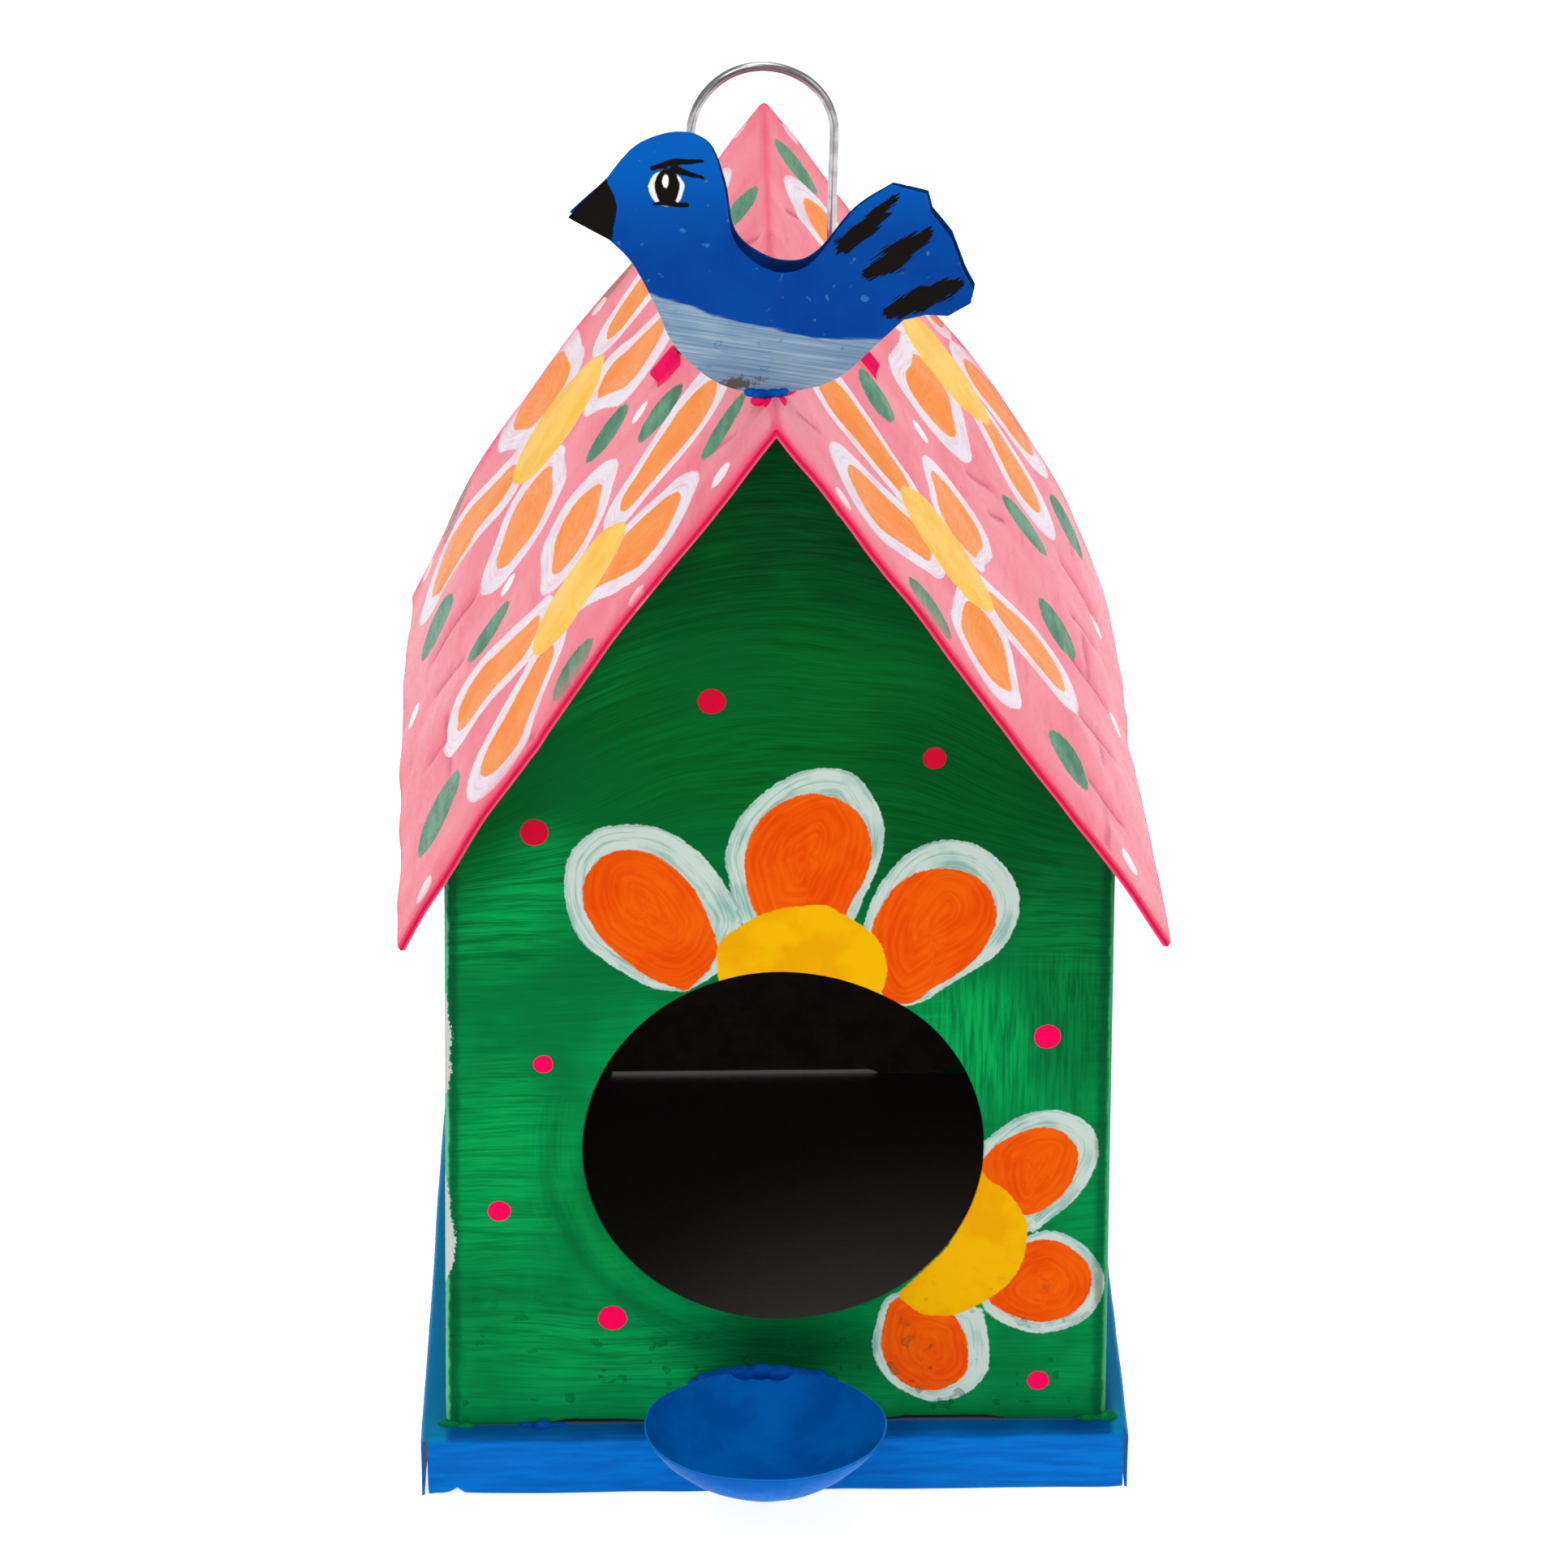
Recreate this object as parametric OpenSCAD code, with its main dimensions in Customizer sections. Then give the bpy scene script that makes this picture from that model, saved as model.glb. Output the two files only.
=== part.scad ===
// Painted sheet-metal birdhouse with a folded roof, a cut-out bird on the ridge,
// a wire hanger and a small feeder dish. Millimetres, +Z up, front towards -Y.
// The origin is the centre of the base tray, in the plane of its lip edges.

/* [Sheet and wire] */
// Thickness of the metal sheet
sheet_t = 0.6; // [0.5:0.1:0.8]
// Outer radius of the folds in the walls and the tray
fold_r = 1.6; // [1.4:0.1:2]
// Diameter of the hanger wire
wire_d = 2; // [1.6:0.1:2.4]

/* [Base tray] */
// Width of the base tray, side to side
base_w = 150; // [146:1:156]
// Depth of the base tray, front to back
base_d = 164; // [160:1:170]
// Height of the tray's down-turned lips
base_h = 14.5; // [12:0.5:16]

/* [House] */
// Width across the outside of the side walls
house_w = 139; // [137:1:141]
// Depth from the front wall's face to the back wall's face
house_d = 153.2; // [150:0.2:156]
// Height of the roof's inner ridge above the ground
apex_z = 250; // [246:1:254]
// Radius of the entrance hole
hole_r = 42.2; // [36:0.1:44]
// Sideways offset of the entrance hole
hole_x = 1; // [-2:0.5:2]
// Height of the entrance hole's centre
hole_z = 81.7; // [80:0.1:84]

/* [Roof] */
// Slope of the roof beside the ridge, in degrees
pitch = 54.3; // [53.5:0.1:55]
// Slope of the roof below its soft bend, in degrees
eave_pitch = 60.8; // [59:0.1:63]
// Distance of the soft bend from the middle
bend_x = 66; // [62:1:67]
// Distance of the eave edge from the middle
eave_x = 79.5; // [76:0.5:82]
// Overhang in front of the front wall
front_overhang = 12.4; // [10:0.2:16]
// Overhang behind the back wall
rear_overhang = 17.4; // [14:0.2:20]
// Width of the hem folded under the front and rear edges
hem_w = 5; // [3:0.5:7]

/* [Feeder dish] */
// Radius of the dish's rim
dish_r = 25.4; // [22:0.2:28]
// Depth of the dish from its rim to its lowest outer point
dish_depth = 12; // [10:0.5:14]
// Upward tilt of the dish's front, in degrees
dish_tilt = 5.6; // [4:0.1:7]
// Sideways offset of the dish
dish_x = -3.3; // [-5:0.1:5]
// Height of the dish's rim where it meets the front wall
dish_rim_z = 27; // [25:0.5:30]

/* [Bird] */
// Distance of the front bird sheet behind the roof's front edge
bird_setback = 17.5; // [16:0.5:22]
// Gap between the two bird sheets
bird_gap = 3; // [2:0.5:4]

/* [Hanger] */
// Radius of the hanger's arch, to the middle of the wire
arch_r = 14.9; // [13:0.1:16]
// Height of the arch's centre
arch_z = 275.3; // [270:0.1:280]
// Sideways offset of the hanger
hanger_x = -1.4; // [-3:0.1:3]
// Place of the hanger along the ridge, from the middle
hanger_y = 6.5; // [0:0.5:20]
// Length of each tab over the hanger's foot, along the ridge
tab_l = 18; // [14:1:22]
// Width of each tab, down the slope
tab_w = 7.5; // [6:0.5:9]

/* [Hidden] */
$fn = 64;
eps = 0.01;

fold_in = fold_r - sheet_t;
wire_r = wire_d / 2;
half_w = house_w / 2;
front_y = -house_d / 2;
back_y = house_d / 2;
roof_front_y = front_y - front_overhang;
roof_back_y = back_y + rear_overhang;

// Inner (lower) line of the roof sheet, in the X-Z plane.
bend_z = apex_z - bend_x * tan(pitch);
eave_z = bend_z - (eave_x - bend_x) * tan(eave_pitch);
side_top_z = bend_z - (half_w - bend_x) * tan(eave_pitch);
ridge_in_r = 1.5;
ridge_arc_z = apex_z - ridge_in_r / cos(pitch);
ridge_top_z = ridge_arc_z + ridge_in_r + sheet_t;
mean_pitch = (pitch + eave_pitch) / 2;
bend_mitre = 1 / cos((eave_pitch - pitch) / 2);

// Gaps that the hand soldering leaves under the walls.
front_gap = 0.9;
front_gap_w = 96;
back_gap = 1.4;
hem_total_t = 3 * sheet_t;
flange_w = 10;

bird_y = roof_front_y + bird_setback;
bird_foot_z = ridge_top_z + 0.2;

green = "#00783c";
pink = "#fa8c9b";
blue = "#004ba5";
magenta = "#eb0f55";

// Right half of the roof's line at a distance th outside its inner surface, from ridge to eave.
function roof_half(th) = concat(
    [for (a = [90 : -9 : 90 - pitch])
        [(ridge_in_r + th) * cos(a), ridge_arc_z + (ridge_in_r + th) * sin(a)]],
    [[bend_x + th * bend_mitre * sin(mean_pitch), bend_z + th * bend_mitre * cos(mean_pitch)]]);
function eave_point(th) = [eave_x + th * sin(eave_pitch), eave_z + th * cos(eave_pitch)];
function flip(points) = [for (i = [len(points) - 1 : -1 : 0]) [-points[i][0], points[i][1]]];
function backwards(points) = [for (i = [len(points) - 1 : -1 : 0]) points[i]];
// Whole line, left eave to right eave.
function roof_line(th) = concat(
    [[-eave_point(th)[0], eave_point(th)[1]]], flip(roof_half(th)),
    [for (i = [1 : len(roof_half(th)) - 1]) roof_half(th)[i]], [eave_point(th)]);
// Top outline of a gabled wall whose flat face reaches x = w on each side.
function gable_top(w) = concat(
    [[-w, wall_top(w)]], flip(roof_half(0)),
    [for (i = [1 : len(roof_half(0)) - 1]) roof_half(0)[i]], [[w, wall_top(w)]]);
function wall_top(x) = bend_z - (x - bend_x) * tan(eave_pitch);

// Smooth open curve through control points.
function curve_point(p0, p1, p2, p3, t) = 0.5 * (2 * p1 + (p2 - p0) * t
    + (2 * p0 - 5 * p1 + 4 * p2 - p3) * t * t + (3 * p1 - p0 - 3 * p2 + p3) * t * t * t);
function curve(p, steps = 5) = concat(
    [for (i = [0 : len(p) - 2]) for (k = [0 : steps - 1])
        curve_point(p[max(i - 1, 0)], p[i], p[i + 1], p[min(i + 2, len(p) - 1)], k / steps)],
    [p[len(p) - 1]]);

// Bird outline: X from the roof's middle, Z from its foot on the ridge.
beak_tip = [-40.3, 38];
bird_back_line = [[-32.6, 46], [-27, 52.5], [-19, 55.2], [-13, 53], [-10, 44], [-8.2, 33],
                  [-2.3, 27], [3.5, 26], [8.4, 29], [15.5, 38.5], [23, 44]];
tail_corners = [[29.7, 42], [30.5, 38.3], [34.5, 33], [37, 26], [39, 22], [38.6, 19.2],
                [34.2, 16.5], [29.8, 16.8]];
bird_belly_line = [[25.3, 15.7], [19.5, 10], [12.5, 3.2], [4, 0.3], [-6, 0.4], [-13.2, 3.5],
                   [-20, 11], [-23.7, 20], [-28, 28.5], [-32.4, 33.4]];
bird_outline = concat([beak_tip], curve(bird_back_line), tail_corners, curve(bird_belly_line));

module quarter_fold() {
    intersection() {
        difference() {
            circle(r = fold_r);
            circle(r = fold_in);
        }
        square(fold_r + 1);
    }
}

// One down-turned lip of the tray with its fold: length along X, standing in front of -Y.
module lip(length) {
    rotate([90, 0, 90])
        linear_extrude(height = length, center = true) {
            translate([fold_r, base_h - fold_r]) mirror([1, 0]) quarter_fold();
            square([sheet_t, base_h - fold_r]);
        }
}

module base_tray() {
    corner_slit = 0.25;
    color(blue) {
        translate([-base_w / 2 + fold_r, -base_d / 2 + fold_r, base_h - sheet_t])
            cube([base_w - 2 * fold_r, base_d - 2 * fold_r, sheet_t]);
        for (side = [0, 180])
            rotate([0, 0, side]) {
                translate([0, -base_d / 2, 0]) lip(base_w - 2 * fold_r);
                rotate([0, 0, 90]) translate([0, -base_w / 2, 0])
                    lip(base_d - 2 * fold_r);
                // front corners: the front lip's tongue closes on the side lip
                translate([base_w / 2 - fold_r - eps, -base_d / 2, 0])
                    cube([fold_r - sheet_t - corner_slit, sheet_t, base_h - fold_r]);
                translate([-base_w / 2 + sheet_t + corner_slit, -base_d / 2, 0])
                    cube([fold_r - sheet_t - corner_slit + eps, sheet_t, base_h - fold_r]);
            }
    }
}

// Front wall and both side walls, folded from one sheet.
module house_shell() {
    flat_w = half_w - fold_r;
    side_l = house_d - fold_r;
    color(green)
        difference() {
            union() {
                translate([0, front_y + sheet_t, 0]) rotate([90, 0, 0])
                    linear_extrude(height = sheet_t)
                        polygon(concat([[-flat_w, base_h]], gable_top(flat_w), [[flat_w, base_h]]));
                for (side = [0, 1])
                    mirror([side, 0, 0]) {
                        translate([flat_w, front_y + fold_r, base_h])
                            linear_extrude(height = side_top_z - base_h)
                                mirror([0, 1]) quarter_fold();
                        translate([half_w - sheet_t, front_y + fold_r, base_h])
                            cube([sheet_t, side_l, side_top_z - base_h]);
                    }
            }
            translate([hole_x, front_y - 1, hole_z]) rotate([-90, 0, 0])
                cylinder(r = hole_r, h = sheet_t + 2, $fn = 96);
            translate([-front_gap_w / 2, front_y - 1, base_h - 1])
                cube([front_gap_w, sheet_t + 2, 1 + front_gap]);
        }
}

// Back wall with a flange folded forwards inside each side wall.
module back_wall() {
    outer_w = half_w - sheet_t;
    flat_w = outer_w - fold_r;
    wall_z = base_h + back_gap;
    flange_h = wall_top(outer_w) - wall_z;
    color(green) {
        translate([0, back_y, 0]) rotate([90, 0, 0])
            linear_extrude(height = sheet_t)
                polygon(concat([[-flat_w, wall_z]], gable_top(flat_w), [[flat_w, wall_z]]));
        for (side = [0, 1])
            mirror([side, 0, 0]) {
                translate([flat_w, back_y - fold_r, wall_z])
                    linear_extrude(height = flange_h) quarter_fold();
                translate([outer_w - sheet_t, back_y - fold_r - flange_w, wall_z])
                    cube([sheet_t, flange_w, flange_h]);
            }
    }
}

// Sheet between two offsets of the roof line.
module roof_strip(low, high, length) {
    rotate([90, 0, 0])
        linear_extrude(height = length)
            polygon(concat(roof_line(high), backwards(roof_line(low))));
}

// The hem is the sheet folded under itself, a little open.
module roof() {
    color(pink) {
        translate([0, roof_back_y, 0])
            roof_strip(0, sheet_t, roof_back_y - roof_front_y);
        for (edge_y = [roof_front_y + hem_w, roof_back_y])
            translate([0, edge_y, 0])
                roof_strip(sheet_t - hem_total_t, sheet_t, hem_w);
    }
}

module bird_sheet() {
    rotate([90, 0, 0])
        linear_extrude(height = sheet_t)
            polygon(bird_outline);
}

module bird_front() {
    color(blue) translate([0, bird_y + sheet_t, bird_foot_z]) bird_sheet();
}

module bird_back() {
    color("#003a80")
        translate([0, bird_y + 2 * sheet_t + bird_gap, bird_foot_z]) bird_sheet();
}

// Half of a round lump, with its flat side in the plane of Y = 0 and its bulge towards -Y.
module half_lump(r) {
    rotate([90, 0, 0])
        difference() {
            sphere(r = r, $fn = 32);
            translate([0, 0, -r]) cube(2 * r, center = true);
        }
}

// Lumps before, between and behind the two bird sheets, on the ridge.
module bird_solder() {
    front_lumps = [[-5.2, 2.2], [0, 2.7], [4.6, 1.8]];
    rear_lumps = [[-3.6, 2.4], [1.6, 2.6]];
    rear_face_y = bird_y + 2 * sheet_t + bird_gap;
    color(magenta) {
        for (l = front_lumps)
            translate([l[0], bird_y, bird_foot_z + 0.4]) half_lump(l[1]);
        for (l = rear_lumps)
            translate([l[0], rear_face_y, bird_foot_z + 0.4]) rotate([0, 0, 180]) half_lump(l[1]);
        translate([-1, bird_y + sheet_t, bird_foot_z + 1.8]) rotate([-90, 0, 0])
            cylinder(r = 1.8, h = bird_gap);
    }
}

// Height of the wire's middle where it lies on the slope, at a distance x from the middle.
function foot_z(x) = apex_z + (sheet_t + wire_r) / cos(pitch) - x * tan(pitch);

module hanger_leg(x) {
    elbow = [x, hanger_y, foot_z(abs(x))];
    translate(elbow) cylinder(r = wire_r, h = arch_z - elbow[2]);
    translate(elbow) sphere(r = wire_r, $fn = 32);
    translate(elbow) rotate([0, (90 + pitch) * sign(x), 0]) cylinder(r = wire_r, h = 11);
}

module hanger_wire() {
    color("silver") {
        translate([hanger_x, hanger_y, arch_z]) rotate([90, 0, 0])
            rotate_extrude(angle = 180) translate([arch_r, 0]) circle(r = wire_r, $fn = 32);
        hanger_leg(hanger_x - arch_r);
        hanger_leg(hanger_x + arch_r);
    }
}

// Strap bent over the foot: its section lies across the wire and is drawn out down the slope.
module tab_profile() {
    saddle_r = wire_r + sheet_t;
    difference() {
        union() {
            translate([0, wire_r]) circle(r = saddle_r, $fn = 32);
            translate([-saddle_r, 0]) square([2 * saddle_r, wire_r]);
            translate([-tab_l / 2, 0]) square([tab_l, sheet_t]);
        }
        translate([0, wire_r]) circle(r = wire_r, $fn = 32);
        translate([-wire_r, -1]) square([2 * wire_r, wire_r + 1]);
        translate([-tab_l, -5]) square([2 * tab_l, 5]);
    }
}

module hanger_tab(x, side) {
    start_x = abs(x) + 2.2;
    translate([side * start_x, hanger_y, foot_z(start_x) - wire_r / cos(pitch)])
        rotate([0, pitch * side, 0])
            rotate([90, 0, 90 * side])
                linear_extrude(height = tab_w) tab_profile();
}

module hanger_tab_left() {
    color(magenta) hanger_tab(hanger_x - arch_r, -1);
}

module hanger_tab_right() {
    color(magenta) hanger_tab(hanger_x + arch_r, 1);
}

// The bowl is a cap of a sphere; its rear rim touches the front wall.
module feeder_dish() {
    bowl_r = (dish_r * dish_r + dish_depth * dish_depth) / (2 * dish_depth);
    color(blue)
        translate([dish_x, front_y - 0.02, dish_rim_z])
            rotate([-dish_tilt, 0, 0]) translate([0, -dish_r, 0])
                rotate_extrude()
                    intersection() {
                        translate([0, bowl_r - dish_depth])
                            difference() {
                                circle(r = bowl_r, $fn = 96);
                                circle(r = bowl_r - sheet_t, $fn = 96);
                            }
                        translate([0, -dish_depth - 1]) square([dish_r + 1, dish_depth + 1]);
                    }
}

// Half-round lumps that flow round the dish's rear rim and hold it to the wall.
module dish_solder() {
    lumps = [[-12, -1.8, 2.2], [-6.5, -1.4, 2.6], [-0.5, -1, 2.9], [6, -1.2, 2.7],
             [11.5, -1.6, 2.3]];
    color(blue)
        for (l = lumps)
            translate([dish_x + l[0], front_y, dish_rim_z + l[1]]) half_lump(l[2]);
}

// Lumps that hold the walls to the tray.
module wall_base_solder() {
    spots = [[-half_w - 0.4, front_y + 1, 2.6], [half_w + 0.4, front_y + 1, 2.6],
             [-50.7, front_y - 0.4, 2.2], [-half_w - 0.2, 40, 2.2], [half_w + 0.2, 40, 2.2],
             [-40, back_y + 0.3, 2.6], [44, back_y + 0.3, 2.6]];
    color(green)
        difference() {
            for (s = spots)
                translate([s[0], s[1], base_h]) sphere(r = s[2], $fn = 32);
            translate([-base_w / 2, -base_d / 2, 0]) cube([base_w, base_d, base_h]);
            house_shell();
            back_wall();
        }
}

// Tacks inside, where the back wall's flanges lie on the side walls.
module wall_seam_solder() {
    color("silver")
        difference() {
            for (side = [-1, 1], z = [34, 86, 134])
                translate([side * (half_w - sheet_t), back_y - fold_r - flange_w, z])
                    sphere(r = 2.2, $fn = 32);
            house_shell();
            back_wall();
            for (side = [0, 1])
                mirror([side, 0, 0]) translate([half_w - eps, -house_d, 0])
                    cube([10, 2 * house_d, apex_z]);
        }
}

// Tacks inside, where the walls' slopes meet the roof.
module roof_solder() {
    color("silver")
        difference() {
            for (side = [-1, 1], x = [16, 52], wall = [-1, 1])
                translate([side * x, wall * (house_d / 2 - sheet_t), apex_z - x * tan(pitch)])
                    sphere(r = 2.4, $fn = 32);
            roof();
            translate([0, roof_back_y, sheet_t]) roof_strip(0, 6, roof_back_y - roof_front_y);
            for (wall = [-1, 1])
                translate([-half_w, wall * (house_d / 2 - sheet_t + 5) - 5, 0])
                    cube([house_w, 10, apex_z]);
        }
}

base_tray();
house_shell();
back_wall();
roof();
bird_front();
bird_back();
bird_solder();
hanger_wire();
hanger_tab_left();
hanger_tab_right();
feeder_dish();
dish_solder();
wall_base_solder();
wall_seam_solder();
roof_solder();
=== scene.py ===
"""Painted sheet-metal birdhouse: visible pieces, paint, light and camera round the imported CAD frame.

Lengths below are millimetres until a mesh is made, which is in metres. +Z is up and -Y the front.
Each sheet is cut as a flat pattern, covered with fine triangles, given its paint as signed distances
to brushed outlines (negative inside), and then folded and dented into place.
"""
import math
import bpy
import numpy as np
from mathutils import Matrix, Vector
from mathutils.geometry import delaunay_2d_cdt


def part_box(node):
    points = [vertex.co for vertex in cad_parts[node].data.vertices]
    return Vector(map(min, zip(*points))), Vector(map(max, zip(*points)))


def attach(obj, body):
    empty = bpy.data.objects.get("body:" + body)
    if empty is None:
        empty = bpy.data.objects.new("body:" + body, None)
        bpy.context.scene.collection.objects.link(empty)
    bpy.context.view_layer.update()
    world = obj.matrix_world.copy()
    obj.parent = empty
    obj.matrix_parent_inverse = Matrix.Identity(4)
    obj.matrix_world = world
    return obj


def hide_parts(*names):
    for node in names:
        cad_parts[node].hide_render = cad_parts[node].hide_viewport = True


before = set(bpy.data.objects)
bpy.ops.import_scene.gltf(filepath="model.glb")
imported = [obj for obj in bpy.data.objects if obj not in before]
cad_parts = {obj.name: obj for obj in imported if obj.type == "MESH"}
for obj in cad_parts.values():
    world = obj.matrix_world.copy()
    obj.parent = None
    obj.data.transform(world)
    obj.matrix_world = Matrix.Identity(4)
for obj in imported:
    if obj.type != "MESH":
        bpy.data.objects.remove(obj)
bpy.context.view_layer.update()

# ---------------------------------------------------------------- sizes, from the frame where it has them
MM = 0.001
SHEET = 0.6
FOLD_R = 1.6
PITCH = math.radians(54.3)
BEND_S = 113.0
HEM = 1.8
WIRE_R = 1.0


def box_mm(node):
    low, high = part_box(node)
    return np.array(low) / MM, np.array(high) / MM


shell_low, shell_high = box_mm("house_shell")
roof_low, roof_high = box_mm("roof")
tray_low, tray_high = box_mm("base_tray")
dish_low, dish_high = box_mm("feeder_dish")
wire_low, wire_high = box_mm("hanger_wire")
bird_low, bird_high = box_mm("bird_front")
HALF_W = shell_high[0]
FRONT_Y = shell_low[1]
BACK_Y = shell_high[1]
TRAY_TOP = tray_high[2]
RIDGE_Z = roof_high[2]
SIDE_TOP = 146.0
APEX_Z = shell_high[2] - 0.3
FLAT_W = HALF_W - FOLD_R


# ---------------------------------------------------------------- small tools
def smooth(edge0, edge1, x):
    t = np.clip((x - edge0) / (edge1 - edge0), 0, 1)
    return t * t * (3 - 2 * t)


def value_noise(u, v, cell, seed):
    """Smooth noise from -1 to 1 over the plane, with one random value per cell."""
    table = np.random.default_rng(seed).uniform(-1, 1, (64, 64))
    u, v = np.asarray(u, float) / cell + 17.3, np.asarray(v, float) / cell + 31.7
    iu, iv = np.floor(u).astype(int), np.floor(v).astype(int)
    fu, fv = u - iu, v - iv
    fu, fv = fu * fu * (3 - 2 * fu), fv * fv * (3 - 2 * fv)

    def at(a, b):
        return table[a % 64, b % 64]

    low = at(iu, iv) * (1 - fu) + at(iu + 1, iv) * fu
    high = at(iu, iv + 1) * (1 - fu) + at(iu + 1, iv + 1) * fu
    return low * (1 - fv) + high * fv


def fractal(u, v, cell, seed, octaves=3):
    total = np.zeros(np.shape(u))
    for k in range(octaves):
        total = total + value_noise(u, v, cell / 2**k, seed + k) / 2**k
    return total


# Signed distances. p is an array of points, (n, 2).
def round_cone(p, a, ra, b, rb):
    """Distance to the shape swept by a circle that goes from a to b while its radius goes from ra to rb."""
    a, b = np.array(a, float), np.array(b, float)
    axis = b - a
    length2 = max(axis @ axis, 1e-9)
    t = np.clip((p - a) @ axis / length2, 0, 1)
    gap = np.linalg.norm(p - (a + t[:, None] * axis), axis=1)
    return gap - (ra + (rb - ra) * t)


def ellipse(p, centre, half_u, half_v, turn=0.0):
    c, s = math.cos(math.radians(turn)), math.sin(math.radians(turn))
    q = p - np.array(centre, float)
    u, v = q[:, 0] * c + q[:, 1] * s, -q[:, 0] * s + q[:, 1] * c
    r = np.hypot(u / half_u, v / half_v)
    return (r - 1) * min(half_u, half_v)


def nearest(distances):
    return np.min(np.stack(distances), axis=0) if distances else None


def polyline_distance(p, points):
    """Distance to an open line through points."""
    points = np.array(points, float)
    best = np.full(len(p), 1e9)
    for a, b in zip(points[:-1], points[1:]):
        axis = b - a
        t = np.clip((p - a) @ axis / max(axis @ axis, 1e-9), 0, 1)
        best = np.minimum(best, np.linalg.norm(p - (a + t[:, None] * axis), axis=1))
    return best


def inside(p, loop):
    """True for the points within a closed outline."""
    loop = np.array(loop, float)
    result = np.zeros(len(p), bool)
    for a, b in zip(loop, np.roll(loop, -1, axis=0)):
        crosses = (a[1] > p[:, 1]) != (b[1] > p[:, 1])
        with np.errstate(divide="ignore", invalid="ignore"):
            at = (b[0] - a[0]) * (p[:, 1] - a[1]) / (b[1] - a[1]) + a[0]
        result ^= crosses & (p[:, 0] < at)
    return result


def outline_distance(p, loop):
    d = polyline_distance(p, list(loop) + [loop[0]])
    return np.where(inside(p, loop), -d, d)


def curve(points, steps=6):
    """Smooth open curve through control points."""
    p = np.array(points, float)
    padded = np.vstack([p[:1], p, p[-1:]])
    made = []
    for i in range(len(p) - 1):
        a, b, c, d = padded[i:i + 4]
        for t in np.arange(steps) / steps:
            made.append(0.5 * (2 * b + (c - a) * t + (2 * a - 5 * b + 4 * c - d) * t * t
                               + (3 * b - a - 3 * c + d) * t**3))
    made.append(p[-1])
    return np.array(made)


def resample(loop, spacing):
    """The same closed outline with its long sides cut into short ones."""
    loop = np.array(loop, float)
    made = []
    for a, b in zip(loop, np.roll(loop, -1, axis=0)):
        n = max(1, int(round(np.linalg.norm(b - a) / spacing)))
        made.extend(a + (b - a) * k / n for k in range(n))
    return np.array(made)


# ---------------------------------------------------------------- sheets
def flat_pattern(outline, holes, zones):
    """Points and triangles that fill an outline less its holes.

    zones are strips (low u, high u, spacing) that together cover the outline.
    """
    spacing = min(z[2] for z in zones)
    loops = [resample(outline, spacing)] + [resample(h, spacing) for h in holes]
    low, high = loops[0].min(0), loops[0].max(0)
    parts = []
    for u_low, u_high, step in zones:
        us = np.arange(max(low[0], u_low), min(high[0], u_high), step)
        vs = np.arange(low[1], high[1], step * 0.866)
        u, v = np.meshgrid(us, vs)
        u = u + (np.arange(len(vs))[:, None] % 2) * step * 0.5
        parts.append(np.stack([u.ravel(), v.ravel()], 1))
    grid = np.vstack(parts)
    keep = inside(grid, outline)
    for h in holes:
        keep &= ~inside(grid, h)
    for loop in [outline] + holes:
        near = np.full(len(grid), 1e9)
        near[keep] = polyline_distance(grid[keep], list(loop) + [loop[0]])
        keep &= near > spacing * 0.45
    points = np.vstack(loops + [grid[keep]])
    edges, start = [], 0
    for loop in loops:
        n = len(loop)
        edges += [(start + i, start + (i + 1) % n) for i in range(n)]
        start += n
    verts, _, faces, *_ = delaunay_2d_cdt([Vector(q) for q in points], edges, [], 0, 1e-7)
    uv = np.array([[q.x, q.y] for q in verts])
    tris = np.array([f for f in faces if len(f) == 3])
    middle = uv[tris].mean(1)
    good = inside(middle, outline)
    for h in holes:
        good &= ~inside(middle, h)
    tris = tris[good]
    used = np.unique(tris)
    renumber = np.full(len(uv), -1)
    renumber[used] = np.arange(len(used))
    return uv[used], renumber[tris]


def grid_pattern(us, vs):
    """Points and triangles of a plain grid."""
    u, v = np.meshgrid(us, vs, indexing="ij")
    n = len(vs)
    i, j = np.meshgrid(np.arange(len(us) - 1), np.arange(n - 1), indexing="ij")
    a = (i * n + j).ravel()
    tris = np.vstack([np.stack([a, a + n, a + n + 1], 1), np.stack([a, a + n + 1, a + 1], 1)])
    return np.stack([u.ravel(), v.ravel()], 1), tris


def rim_edges(tris):
    """The directed edges that only one triangle has."""
    edges = np.vstack([tris[:, [0, 1]], tris[:, [1, 2]], tris[:, [2, 0]]])
    key = np.sort(edges, axis=1)
    _, first, counts = np.unique(key, axis=0, return_index=True, return_counts=True)
    return edges[first[counts == 1]]


def make_mesh(name, verts_mm, faces, materials, face_slots=None, values=None, sharp=50):
    mesh = bpy.data.meshes.new(name)
    mesh.from_pydata((np.asarray(verts_mm) * MM).tolist(), [], np.asarray(faces).tolist())
    mesh.polygons.foreach_set("use_smooth", np.ones(len(mesh.polygons), bool))
    for m in materials:
        mesh.materials.append(m)
    if face_slots is not None:
        mesh.polygons.foreach_set("material_index", np.asarray(face_slots, np.int32))
    for key, array in (values or {}).items():
        mesh.attributes.new(key, "FLOAT", "POINT").data.foreach_set(
            "value", np.asarray(array, np.float32))
    mesh.set_sharp_from_angle(angle=math.radians(sharp))
    mesh.update()
    obj = bpy.data.objects.new(name, mesh)
    bpy.context.scene.collection.objects.link(obj)
    return obj


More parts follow.
